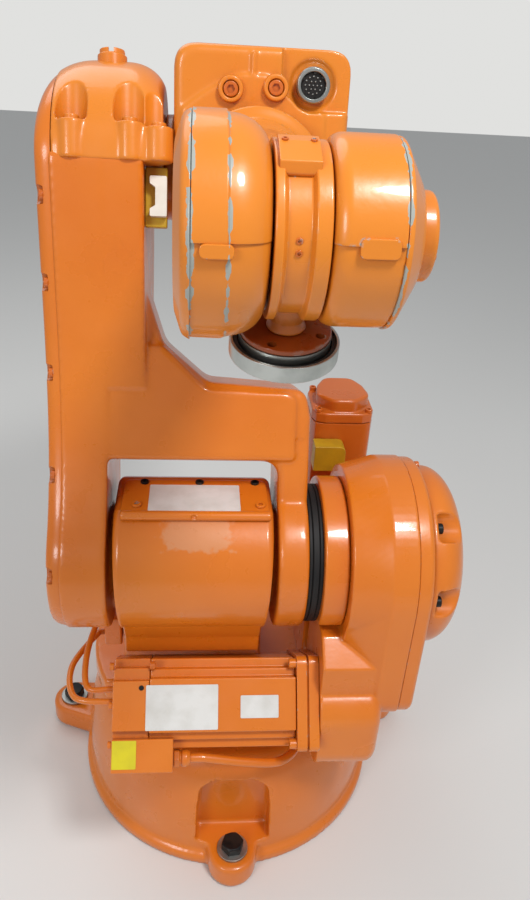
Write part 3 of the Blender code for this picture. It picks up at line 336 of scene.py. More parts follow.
    def fit(self, name: str, place: Place, finish: bpy.types.Material, host: str,
            replaces: Sequence[str] = ()) -> bpy.types.Object:
        """Put the piece on the part.

        Args:
            name: The piece's name.
            place: The frame that it was made in.
            finish: Its material.
            host: The CAD node whose body carries it.
            replaces: The CAD nodes that it stands for.

        Returns:
            The piece's object.
        """
        self.moved(place.matrix())
        mesh = self.item.data
        mesh.shade_smooth()
        if not self.is_cast:
            mesh.set_sharp_from_angle(angle=SHARP)
            weigh = self.item.modifiers.new("even_shading", "WEIGHTED_NORMAL")
            weigh.keep_sharp = True
        mesh.materials.clear()
        mesh.materials.append(finish)
        return ride(self.item, name, host, replaces)


def ride(item: bpy.types.Object, name: str, host: str, replaces: Sequence[str] = ()) -> bpy.types.Object:
    """Name a piece, hang it on its host's body and hide the nodes that it stands for."""
    item.name = name
    item.data.name = name
    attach(item, BODY_OF[host])
    if replaces:
        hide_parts(*replaces)
    LOG.info("%s: %s on %s", name, item.type.lower(), BODY_OF[host])
    return item


def cap_screw(radius: float, height: float) -> Solid:
    """Make a socket head screw that stands up along Z, with its hexagon socket."""
    edge = radius * 0.18
    profile = rounded([(0.0, 0.0), (radius, 0.0), (radius, height), (0.0, height)], edge, False)
    socket = arc((0.0, 0.0), radius * 0.58, 0, 300, HEX - 1)
    return Solid.turned(profile, Axis.Z, sides=28).cut(
        Solid.prism(socket, Axis.Z, height * 0.35, height + OVERRUN))


def facing(point: Triple, axis: Axis, sign: float = 1.0) -> Matrix:
    """Return the matrix that stands a Z-up piece at a point, looking along an axis."""
    direction = Vector([sign if index == axis.value else 0.0 for index in range(3)])
    return Matrix.Translation(point) @ direction.to_track_quat("Z", "Y").to_matrix().to_4x4()


# --------------------------------------------------------------------------- finishes


def linear(code: str) -> tuple[float, float, float, float]:
    """Turn an sRGB hex colour into the linear colour that the shader wants."""
    parts = [int(code[index:index + 2], 16) / 255 for index in (1, 3, 5)]
    return (*[p / 12.92 if p <= 0.04045 else ((p + 0.055) / 1.055) ** 2.4 for p in parts], 1.0)


def per_metre(millimetres: float) -> float:
    """Return the texture scale that gives a pattern the stated size."""
    return 1000.0 / millimetres


def add_node(tree: bpy.types.NodeTree, kind: str, settings: dict | None = None,
             links: dict | None = None) -> bpy.types.Node:
    """Add a node.

    Args:
        tree: The material's node tree.
        kind: The node's type name.
        settings: Values by property name, input name or input number.
        links: Output sockets by input name or number.

    Returns:
        The node.
    """
    node = tree.nodes.new(kind)
    for key, value in (settings or {}).items():
        if isinstance(key, int) or key in node.inputs:
            node.inputs[key].default_value = value
        else:
            setattr(node, key, value)
    for key, output in (links or {}).items():
        tree.links.new(output, node.inputs[key])
    return node


def new_material(name: str, slot: str, **sockets: object) -> tuple[bpy.types.Material, bpy.types.Node]:
    """Make a material for one of the record's slots, with constants on its shader's own sockets."""
    material = bpy.data.materials.new(name)
    material["slot"] = slot
    material.use_nodes = True
    shader = material.node_tree.nodes["Principled BSDF"]
    for key, value in sockets.items():
        shader.inputs[key.replace("_", " ")].default_value = value
    return material, shader


@dataclass(frozen=True)
class WornBand:
    """A ring round an X axis where handling has worn the paint through."""

    level: float
    width: float


@dataclass(frozen=True)
class Enamel:
    """Two-pack enamel sprayed on cast aluminium: thick and glossy, with a slight orange
    peel. To the eye it is wet and bright, darkened in the corners by painted shade and dust,
    and grey where the edges have been knocked through to primer and metal."""

    name: str
    slot: str = "orange_paint"
    colour: str = "#E67E1E"
    shade: str = "#D96C14"
    # colour of the painted shade in corners, broken up by dust grains
    dust_and_shade: str = "#8A4216"
    primer: str = "#A7ABA4"
    wear: float = 0.5
    bands: tuple[WornBand, ...] = ()
    scuff: tuple[Triple, Triple] | None = None
    scuff_colour: str = "#DE9A6C"

    def make(self) -> bpy.types.Material:
        """Return the paint as a material."""
        material, shader = new_material(self.name, self.slot, Roughness=0.3, IOR=1.5, Coat_Weight=0.35,
                                        Coat_Roughness=0.06)
        tree = material.node_tree
        place = add_node(tree, "ShaderNodeTexCoord").outputs["Object"]
        # clouds of about 110 mm, where the coat was sprayed thicker
        clouds = add_node(tree, "ShaderNodeTexNoise", {"Scale": per_metre(110), "Detail": 3.0},
                          {"Vector": place})
        spread = add_node(tree, "ShaderNodeMapRange", {1: 0.35, 2: 0.70, 3: 0.0, 4: 0.55},
                          {0: clouds.outputs["Fac"]})
        paint = add_node(tree, "ShaderNodeMixRGB", {"Color1": linear(self.colour),
                                                    "Color2": linear(self.shade)},
                         {"Fac": spread.outputs[0]})
        # painted shade darkens the paint in corners within 14 mm of each other, broken up by dust grains
        corner = add_node(tree, "ShaderNodeAmbientOcclusion", {"Distance": 0.014, "samples": 4})
        # grains of dust of 5 mm, drawn coarse enough to show, that break up the painted shade
        grains = add_node(tree, "ShaderNodeTexNoise", {"Scale": per_metre(5), "Detail": 4.0},
                          {"Vector": place})
        hollow = add_node(tree, "ShaderNodeMapRange", {1: 0.85, 2: 0.25, 3: 0.0, 4: 0.75},
                          {0: corner.outputs["AO"]})
        dust_and_shade_mask = add_node(tree, "ShaderNodeMath", {"operation": "MULTIPLY"},
                         {0: hollow.outputs[0], 1: grains.outputs["Fac"]})
        soiled_and_shaded = add_node(tree, "ShaderNodeMixRGB", {"Color2": linear(self.dust_and_shade)},
                          {"Fac": dust_and_shade_mask.outputs[0], "Color1": paint.outputs[0]})
        worn = self._worn(tree, place)
        coat = soiled_and_shaded
        if self.scuff:
            coat = self._scuffed(tree, place, soiled_and_shaded)
        colour = add_node(tree, "ShaderNodeMixRGB", {"Color2": linear(self.primer)},
                          {"Fac": worn.outputs[0], "Color1": coat.outputs[0]})
        tree.links.new(colour.outputs[0], shader.inputs["Base Color"])
        # hand marks of about 30 mm change the gloss a little
        marks = add_node(tree, "ShaderNodeTexNoise", {"Scale": per_metre(30), "Detail": 5.0},
                         {"Vector": place})
        gloss = add_node(tree, "ShaderNodeMapRange", {1: 0.3, 2: 0.7, 3: 0.24, 4: 0.40},
                         {0: marks.outputs["Fac"]})
        tree.links.new(gloss.outputs[0], shader.inputs["Roughness"])
        # orange peel of 3.5 mm, as on sprayed enamel seen close
        peel = add_node(tree, "ShaderNodeTexNoise", {"Scale": per_metre(3.5), "Detail": 2.0},
                        {"Vector": place})
        level = add_node(tree, "ShaderNodeMath", {"operation": "SUBTRACT"},
                         {0: peel.outputs["Fac"], 1: worn.outputs[0]})
        bump = add_node(tree, "ShaderNodeBump", {"Strength": 0.10, "Distance": 0.0006},
                        {"Height": level.outputs[0]})
        tree.links.new(bump.outputs[0], shader.inputs["Normal"])
        return material

    def _worn(self, tree: bpy.types.NodeTree, place: bpy.types.NodeSocket) -> bpy.types.Node:
        """Return the mask of chipped edges and worn bands."""
        # an edge shows where the normal turns within 1.8 mm
        turned = add_node(tree, "ShaderNodeBevel", {"Radius": 0.0018, "samples": 6})
        flat = add_node(tree, "ShaderNodeNewGeometry")
        same = add_node(tree, "ShaderNodeVectorMath", {"operation": "DOT_PRODUCT"},
                        {0: turned.outputs[0], 1: flat.outputs["Normal"]})
        edge = add_node(tree, "ShaderNodeMapRange", {1: 0.985, 2: 0.90, 3: 0.0, 4: 1.0},
                        {0: same.outputs["Value"]})
        # chips of 7 mm, broken up to a third of that
        chips = add_node(tree, "ShaderNodeTexNoise", {"Scale": per_metre(7), "Detail": 4.0},
                         {"Vector": place})
        patch = add_node(tree, "ShaderNodeMapRange", {1: 0.66 - 0.10 * self.wear,
                                                      2: 0.70 - 0.10 * self.wear},
                         {0: chips.outputs["Fac"]})
        mask = add_node(tree, "ShaderNodeMath", {"operation": "MULTIPLY"},
                        {0: edge.outputs[0], 1: patch.outputs[0]})
        across = add_node(tree, "ShaderNodeSeparateXYZ", links={0: place})
        for band in self.bands:
            away = add_node(tree, "ShaderNodeMath", {"operation": "SUBTRACT", 1: band.level},
                            {0: across.outputs[0]})
            size = add_node(tree, "ShaderNodeMath", {"operation": "ABSOLUTE"}, {0: away.outputs[0]})
            rough = add_node(tree, "ShaderNodeMapRange", {1: 0.42, 2: 0.62, 3: 0.0, 4: band.width},
                             {0: chips.outputs["Fac"]})
            ring = add_node(tree, "ShaderNodeMath", {"operation": "LESS_THAN"},
                            {0: size.outputs[0], 1: rough.outputs[0]})
            mask = add_node(tree, "ShaderNodeMath", {"operation": "MAXIMUM"},
                            {0: mask.outputs[0], 1: ring.outputs[0]})
        return mask

    def _scuffed(self, tree: bpy.types.NodeTree, place: bpy.types.NodeSocket,
                 coat: bpy.types.Node) -> bpy.types.Node:
        """Return the colour with a pale rubbed patch inside the scuff's box."""
        low, high = (Vector(corner) for corner in self.scuff)
        middle, half = (low + high) / 2, (high - low) / 2
        away = add_node(tree, "ShaderNodeVectorMath", {"operation": "SUBTRACT", 1: middle}, {0: place})
        share = add_node(tree, "ShaderNodeVectorMath", {"operation": "DIVIDE", 1: half},
                         {0: away.outputs[0]})
        size = add_node(tree, "ShaderNodeVectorMath", {"operation": "ABSOLUTE"}, {0: share.outputs[0]})
        parts = add_node(tree, "ShaderNodeSeparateXYZ", links={0: size.outputs[0]})
        far = add_node(tree, "ShaderNodeMath", {"operation": "MAXIMUM"},
                       {0: parts.outputs[0], 1: parts.outputs[2]})
        # rubbed spots of 6 mm
        spots = add_node(tree, "ShaderNodeTexNoise", {"Scale": per_metre(6), "Detail": 5.0},
                         {"Vector": place})
        ragged = add_node(tree, "ShaderNodeMath", {"operation": "ADD"},
                          {0: far.outputs[0], 1: spots.outputs["Fac"]})
        inside = add_node(tree, "ShaderNodeMapRange", {1: 1.52, 2: 1.30, 3: 0.0, 4: 0.70},
                          {0: ragged.outputs[0]})
        return add_node(tree, "ShaderNodeMixRGB", {"Color2": linear(self.scuff_colour)},
                        {"Fac": inside.outputs[0], "Color1": coat.outputs[0]})


@dataclass(frozen=True)
class TurnedSteel:
    """Steel straight from the lathe: bright, with fine turning marks and a grey bloom
    of finger marks."""

    name: str
    slot: str = "bare_steel"
    colour: str = "#C9CCC8"
    bloom: str = "#8E9490"
    roughness: float = 0.30
    pitch: float = 1.2

    def make(self) -> bpy.types.Material:
        """Return the metal as a material."""
        material, shader = new_material(self.name, self.slot, Metallic=1.0)
        tree = material.node_tree
        place = add_node(tree, "ShaderNodeTexCoord").outputs["Object"]
        # turning marks 1.2 mm apart, drawn coarser than the real 0.2 mm so that they show
        marks = add_node(tree, "ShaderNodeTexNoise", {"Scale": per_metre(self.pitch), "Detail": 2.0},
                         {"Vector": place})
        # finger marks of 20 mm
        cloud = add_node(tree, "ShaderNodeTexNoise", {"Scale": per_metre(20), "Detail": 4.0},
                         {"Vector": place})
        spread = add_node(tree, "ShaderNodeMapRange", {1: 0.4, 2: 0.7, 3: 0.0, 4: 0.7},
                          {0: cloud.outputs["Fac"]})
        colour = add_node(tree, "ShaderNodeMixRGB", {"Color1": linear(self.colour),
                                                     "Color2": linear(self.bloom)},
                          {"Fac": spread.outputs[0]})
        tree.links.new(colour.outputs[0], shader.inputs["Base Color"])
        gloss = add_node(tree, "ShaderNodeMapRange", {3: self.roughness - 0.08, 4: self.roughness + 0.14},
                         {0: cloud.outputs["Fac"]})
        tree.links.new(gloss.outputs[0], shader.inputs["Roughness"])
        bump = add_node(tree, "ShaderNodeBump", {"Strength": 0.08, "Distance": 0.0003},
                        {"Height": marks.outputs["Fac"]})
        tree.links.new(bump.outputs[0], shader.inputs["Normal"])
        return material


@dataclass(frozen=True)
class Moulded:
    """Injection-moulded plastic or rubber: even, with a fine moulded grain and a light
    film of dust."""

    name: str
    slot: str
    colour: str
    dust_and_shade: str
    roughness: float = 0.45
    grain: float = 1.5
    metallic: float = 0.0

    def make(self) -> bpy.types.Material:
        """Return the plastic as a material."""
        material, shader = new_material(self.name, self.slot, Metallic=self.metallic)
        tree = material.node_tree
        place = add_node(tree, "ShaderNodeTexCoord").outputs["Object"]
        # a film of dust in clouds of 18 mm
        cloud = add_node(tree, "ShaderNodeTexNoise", {"Scale": per_metre(18), "Detail": 6.0},
                         {"Vector": place})
        spread = add_node(tree, "ShaderNodeMapRange", {1: 0.42, 2: 0.75, 3: 0.0, 4: 0.6},
                          {0: cloud.outputs["Fac"]})
        colour = add_node(tree, "ShaderNodeMixRGB", {"Color1": linear(self.colour),
                                                     "Color2": linear(self.dust_and_shade)},
                          {"Fac": spread.outputs[0]})
        tree.links.new(colour.outputs[0], shader.inputs["Base Color"])
        gloss = add_node(tree, "ShaderNodeMapRange", {3: self.roughness - 0.07, 4: self.roughness + 0.12},
                         {0: cloud.outputs["Fac"]})
        tree.links.new(gloss.outputs[0], shader.inputs["Roughness"])
        # moulded grain, drawn at 1.5 mm so that it shows
        grain = add_node(tree, "ShaderNodeTexNoise", {"Scale": per_metre(self.grain), "Detail": 2.0},
                         {"Vector": place})
        bump = add_node(tree, "ShaderNodeBump", {"Strength": 0.12, "Distance": 0.0003},
                        {"Height": grain.outputs["Fac"]})
        tree.links.new(bump.outputs[0], shader.inputs["Normal"])
        return material


class Paints:
    """The finishes that the pieces share."""

    def __init__(self) -> None:
        """Mix every finish once."""
        # painted light: a paler, yellower copy of the orange for the upper parts, where the lamps fall on
        # them
        light = {"slot": "pale_orange_paint", "colour": "#EA8A26", "shade": "#DF7A1C"}
        self.orange = Enamel("orange_enamel").make()
        self.pale = Enamel("orange_enamel_lit_upper", wear=0.6, **light).make()
        # the flange hub's paint is darker for its dirt and also for painted shade under the wrist
        self.soiled_and_shaded = Enamel("orange_enamel_soiled", colour="#A44C1A", shade="#7E3810", wear=0.8).make()
        self.deep = Enamel("orange_enamel_shaded", colour="#D56C1E", shade="#BC5712", wear=0.4).make()
        bands = (WornBand(-0.0480, 0.0018), WornBand(-0.0322, 0.0012))
        # the drums take the painted-light copy as well, with their worn bands
        self.left_drum = Enamel("orange_enamel_handled_and_lit", wear=0.9, bands=bands, **light).make()
        bands = (WornBand(0.0430, 0.0016),)
        self.right_drum = Enamel("orange_enamel_rubbed_and_lit", wear=0.9, bands=bands, **light).make()
        self.housing = Enamel("orange_enamel_scuffed", wear=0.4,
                              scuff=((-0.074, -0.16, 0.396), (-0.010, -0.10, 0.418))).make()
        self.gear_wall = Enamel("orange_enamel_edge_worn", wear=1.0).make()
        self.steel = TurnedSteel("turned_steel").make()
        self.zinc = TurnedSteel("zinc_plated_steel", colour="#B9BBB8", bloom="#85837C",
                                roughness=0.42).make()
        self.bolt = Moulded("blackened_steel", "black_steel", "#1B1B1D", "#4A443C", 0.42, 1.0, 0.6).make()
        self.black = Moulded("black_nylon", "black_plastic", "#0C0C0C", "#262320", 0.4).make()
        self.rubber = Moulded("black_rubber", "black_plastic", "#0A0A0B", "#1C1917", 0.6).make()
        self.yellow = Moulded("yellow_nylon", "yellow_plastic", "#C9A21B", "#A8841C").make()
        self.white = Moulded("white_nylon", "white_plastic", "#E9E6DA", "#CFC8B4", 0.42).make()
        self.label = Moulded("white_film", "white_plastic", "#E6E5E1", "#C9C6BD", 0.35).make()
        self.yellow_film = Moulded("yellow_film", "yellow_plastic", "#E3D31E", "#C9B71E", 0.35).make()


# --------------------------------------------------------------------------- base


@dataclass
class Base:
    """The fixed bell casting with its three ears, foot bolts and rear connectors."""

    paints: Paints
    rim_radius: float = 0.176
    rim_height: float = 0.014
    bell_radius: float = 0.1695
    bell_height: float = 0.143
    neck_radius: float = 0.112
    height: float = 0.150
    ear_radius: float = 0.026
    ear_height: float = 0.030
    ear_root: float = 0.060
    ears: tuple[tuple[str, Point], ...] = (
        ("front", (0.0, -0.175)), ("left", (-0.198, 0.043)), ("right", (0.198, 0.043)))
    arch_half: float = 0.040
    arch_top: float = 0.117
    arch_back: float = -0.142
    rear_half: float = 0.065
    rear_low: float = 0.012
    rear_top: float = 0.118
    rear_reach: float = 0.199
    bolt_radius: float = 0.0122
    bolt_height: float = 0.010
    washer_radius: float = 0.0165
    washer_height: float = 0.003

    def build(self) -> None:
        """Build and dress the whole base."""
        self.casting()
        self.foot_bolts()
        self.rear_panel()

    def bell(self) -> list[Point]:
        """Return the bell's profile from the floor up."""
        line = [(0.0, 0.0), (self.rim_radius, 0.0), (self.rim_radius, self.rim_height - 0.003)]
        line.append((self.rim_radius - 0.003, self.rim_height))
        for index in range(25):
            share = index / 24
            bulge = (1 - share**3) ** (1 / 3)
            radius = self.neck_radius + (self.bell_radius - self.neck_radius) * bulge
            line.append((radius, self.rim_height + share * (self.bell_height - self.rim_height)))
        return line + [(self.neck_radius, self.height), (0.0, self.height)]

    def casting(self) -> None:
        """Cast the bell with its ears, the arch over the front bolt and the rear box."""
        piece = Solid.turned(self.bell(), Axis.Z, sides=128)
        for _, place in self.ears:
            ear = Solid.prism(hull((0.0, 0.0), self.ear_root, place, self.ear_radius), Axis.Z,
                              0.0, self.ear_height).bevel(0.0045)
            piece.fuse(ear)
        piece.fuse(Solid.block((-self.rear_half, 0.0, self.rear_low),
                               (self.rear_half, self.rear_reach, self.rear_top), 0.008))
        piece.cast(0.0020, 3, 1.0)
        arch = rounded([(-self.arch_half, self.ear_height), (self.arch_half, self.ear_height),
                        (self.arch_half - 0.003, self.arch_top), (0.003 - self.arch_half, self.arch_top)],
                       [0.004, 0.004, 0.026, 0.026])
        recess = Solid.prism(arch, Axis.Y, -0.215, self.arch_back).bevel(0.004)
        piece.cut(recess)
        piece.cast(0.0020, 2, 0.5)
        for _, place in self.ears:
            hole = [(0.0085, -OVERRUN), (0.0085, self.ear_height + OVERRUN)]
            piece.cut(Solid.turned(hole, Axis.Z, place, SMALL))
        piece.fit("base_casting_enamelled", FLOOR, self.paints.orange, "base_casting", ["base_casting"])

    def foot_bolts(self) -> None:
        """Make each foot's hexagon bolt and its flat washer."""
        seat = self.ear_height + GAP
        top = seat + self.washer_height
        for name, place in self.ears:
            ring = rounded([(0.0085, seat), (self.washer_radius, seat), (self.washer_radius, top),
                            (0.0085, top)], 0.0006, False)
            washer = Solid.turned(ring + [(0.0085, seat)], Axis.Z, place, SMALL)
            washer.fit(f"foot_washer_{name}", FLOOR, self.paints.zinc, "foot_bolt_" + name)
            shank = [(0.0, 0.001), (0.008, 0.001), (0.008, top + 0.001), (0.0, top + 0.001)]
            head = Solid.prism(arc(place, self.bolt_radius, 10, 310, HEX - 1), Axis.Z, top,
                               top + self.bolt_height)
            crown = [(0.0, top - 0.002), (self.bolt_radius + 0.001, top - 0.002),
                     (self.bolt_radius + 0.001, top + self.bolt_height - 0.0028),
                     (self.bolt_radius * 0.80, top + self.bolt_height), (0.0, top + self.bolt_height)]
            head.changed("BOOLEAN", operation="INTERSECT", solver="EXACT",
                         object=(cone := Solid.turned(crown, Axis.Z, place, SMALL)).item)
            cone.scrap()
            head.changed("BOOLEAN", operation="UNION", solver="EXACT",
                         object=(pin := Solid.turned(shank, Axis.Z, place, SMALL)).item)
            pin.scrap()
            head.bevel(0.0005, 2)
            head.fit(f"foot_bolt_{name}_black", FLOOR, self.paints.bolt, "foot_bolt_" + name,
                     ["foot_bolt_" + name])

    def rear_panel(self) -> None:
        """Make the connector plate at the back, with two round bayonet sockets."""
        low, high, half = self.rear_low + 0.010, self.rear_top - 0.010, self.rear_half - 0.010
        near = self.rear_reach + GAP
        far = near + 0.003
        plate = Solid.prism(box_outline(-half, half, low, high, 0.004), Axis.Y, near, far).bevel(0.0006, 2)
        plate.fit("rear_panel_steel", FLOOR, self.paints.steel, "rear_panel", ["rear_panel"])
        spots = [facing((side * (half - 0.007), far, level), Axis.Y)
                 for side in (-1, 1) for level in (low + 0.007, high - 0.007)]
        cap_screw(0.0035, 0.003).repeated(spots).fit("rear_panel_screws", FLOOR, self.paints.bolt,
                                                     "rear_panel")
        seat = far + GAP
        end = seat + 0.020
        middle = (low + high) / 2
        for side, node in ((-1, "rear_power_socket"), (1, "rear_signal_socket")):
            centre = (side * 0.026, middle)
            profile = rounded([(0.0, seat), (0.019, seat), (0.019, seat + 0.005), (0.017, seat + 0.006),
                               (0.017, end - 0.006), (0.019, end - 0.005), (0.019, end), (0.014, end),
                               (0.014, end - 0.010), (0.0, end - 0.010)], 0.0008, False, 3)
            Solid.turned(profile, Axis.Y, centre, 64).fit(node + "_shell", FLOOR, self.paints.black,
                                                          node, [node])
            pins = [Matrix.Translation((centre[0] + r * math.cos(a), 0, centre[1] + r * math.sin(a)))
                    for r, count in ((0.004, 4), (0.0095, 9))
                    for a in (math.tau * k / count for k in range(count))]
            pin = rounded([(0.0, end - 0.010), (0.0009, end - 0.010), (0.0009, end - 0.003),
                           (0.0, end - 0.003)], 0.0004, False, 2)
            Solid.turned(pin, Axis.Y, sides=12).repeated(pins).fit(node + "_pins", FLOOR,
                                                                   self.paints.steel, node)


# --------------------------------------------------------------------------- turret


@dataclass
class Turret:
    """The casting that turns on the base: deck, column, round housing and gear wall."""

    paints: Paints
    radius: float = 0.158
    front: float = 0.074
    foot: float = 0.1503
    deck: float = 0.178
    axis: Point = (-0.070, 0.352)
    centre_left: float = -0.119
    centre_right: float = 0.0275
    centre_radius: float = 0.0735
    flat: float = 0.068
    wall_left: float = 0.0735
    wall_right: float = 0.0965
    wall_radius: float = 0.076
    pad_centre: Point = (0.115, 0.086)
    pad_half: float = 0.042

    def build(self) -> None:
        """Build and dress the turret."""
        self.casting()
        self.barrel()
        self.apron()
        self.lid()
        self.seal()

    def casting(self) -> None:
        """Cast the deck, the column and the wall that carries the gearbox."""
        start = -math.degrees(math.asin(self.front / self.radius))
        disc = arc((0.0, 0.0), self.radius, start, 180 - start, 96)
        piece = Solid.prism(disc, Axis.Z, self.foot, self.deck).bevel(0.003)
        x, y = self.pad_centre
        pad = box_outline(x - self.pad_half, x + self.pad_half, y - self.pad_half, y + self.pad_half, 0.014)
        column = rounded([(-0.064, self.deck - 0.002), (0.050, self.deck - 0.002), (0.025, 0.230),
                          (-0.030, 0.330), (-0.064, 0.330)], [0.0, 0.0, 0.02, 0.0, 0.0])
        wall = arc(self.axis, self.wall_radius, -30, 210, 96)
        wall += [(-0.064, self.axis[1] - self.wall_radius), (-0.064, 0.176), (0.040, 0.176)]
        piece.fuse(Solid.prism(pad, Axis.Z, self.foot, self.deck).bevel(0.002),
                   Solid.prism(column, Axis.X, self.centre_left, self.centre_right).bevel(0.004))
        piece.cast(0.0020, 4, 0.45)
        piece.fit("turret_casting_enamelled", FLOOR, self.paints.orange, "turret_casting",
                  ["turret_casting"])
        side = Solid.prism(wall, Axis.X, self.wall_left, self.wall_right).bevel(0.0024, 4)
        side.fit("gear_wall", FLOOR, self.paints.gear_wall, "turret_casting")

    def barrel(self) -> None:
        """Make the round housing between the arm's legs, flat on top."""
        level = self.axis[1] + self.flat
        line = clipped(arc(self.axis, self.centre_radius, -90, 270, 160)[:-1], level, False)
        sections = []
        for index in range(9):
            angle = math.pi / 2 * index / 8
            inset, step = 0.007 * (1 - math.sin(angle)), 0.007 * (1 - math.cos(angle))
            sections.append((self.shrunk(line, inset), self.centre_left + step))
        mirrored = [(outline, self.centre_left + self.centre_right - at) for outline, at in sections]
        piece = Solid.loft(sections + mirrored[::-1], Axis.X)
        for side, edge in ((-1, self.centre_left), (1, self.centre_right)):
            wedge = [(edge + side * 0.01, 0.425), (edge, 0.415), (edge - side * 0.0065, 0.280),
                     (edge + side * 0.01, 0.270)]
            piece.cut(Solid.prism(wedge, Axis.Y, -0.2, 0.1))
        piece.bevel(0.0012, 2)
        piece.fit("centre_housing", FLOOR, self.paints.housing, "turret_casting")

    def apron(self) -> None:
        """Make the wall that runs from the housing down behind the motor."""
        side = rounded([(-0.1325, 0.3165), (-0.1140, 0.2800), (-0.1105, 0.2580), (-0.078, 0.2310),
                        (-0.060, 0.2310), (-0.060, 0.3165)], [0.0, 0.02, 0.005, 0.004, 0.0, 0.0])
        wall = Solid.prism(side, Axis.X, -0.1120, 0.0205).bevel(0.002)
        wall.fit("housing_apron", FLOOR, self.paints.orange, "turret_casting")

    def shrunk(self, line: Sequence[Point], inset: float) -> list[Point]:
        """Draw an outline in towards the second axis."""
        share = 1 - inset / self.centre_radius
        return [(self.axis[0] + (y - self.axis[0]) * share, self.axis[1] + (z - self.axis[1]) * share)
                for y, z in line]

    def lid(self) -> None:
        """Make the lid on the flat, with its rolled front lip, its screws and a blank plate."""
        seat = self.axis[1] + self.flat + GAP
        plate = Solid.prism(box_outline(-0.1120, 0.0230, -0.1065, -0.0500, 0.008), Axis.Z, seat,
                            seat + 0.0030).bevel(0.0010)
        bead = rounded([(0.0, -0.1120), (0.0044, -0.1120), (0.0044, 0.0245), (0.0, 0.0245)], 0.0035, False)
        lip = Solid.turned(bead, Axis.X, (-0.1065, seat - 0.0006), SMALL)
        plate.fuse(lip).cast(0.0009, 3, 1.0)
        hole = Solid.turned([(0.0, -0.13), (0.0026, -0.13), (0.0026, -0.1085), (0.0, -0.1085)], Axis.Y,
                            (-0.046, seat + 0.0002), 24)
        plate.cut(hole).cast(0.0009, 1, 0.5)
        plate.fit("centre_lid", FLOOR, self.paints.orange, "centre_cover", ["centre_cover"])
        top = seat + 0.0029
        spots = [facing((x, -0.0955, top), Axis.Z) for x in (-0.098, 0.015)]
        cap_screw(0.0044, 0.0026).repeated(spots).fit("centre_lid_screws", FLOOR, self.paints.orange,
                                                      "centre_cover")
        studs = [facing((x, -0.0565, top), Axis.Z) for x in (-0.093, -0.041, 0.012)]
        cap_screw(0.0040, 0.0022).repeated(studs).fit("centre_lid_back_screws", FLOOR, self.paints.bolt,
                                                      "centre_cover")
        label = Solid.prism(box_outline(-0.0875, -0.0035, -0.1040, -0.0610, 0.0012), Axis.Z,
                            seat + 0.0030, seat + 0.0035)
        label.fit("centre_lid_blank_plate", FLOOR, self.paints.label, "centre_cover")

    def seal(self) -> None:
        """Make the ribbed rubber seal between the arm's right leg and the gear wall."""
        left, right, outer, inner = 0.0605, 0.0732, 0.0680, 0.0455
        line = [(inner, left), (outer, left)]
        for index in range(2):
            start = left + (right - left) * (index + 0.35) / 2
            line += [(outer, start), (outer - 0.0012, start + 0.0008), (outer, start + 0.0016)]
        line += [(outer, right), (inner, right), (inner, left)]
        Solid.turned(line, Axis.X, self.axis).fit("leg_seal_rubber", FLOOR, self.paints.rubber, "leg_seal",
                                                  ["leg_seal"])


# --------------------------------------------------------------------------- gearbox


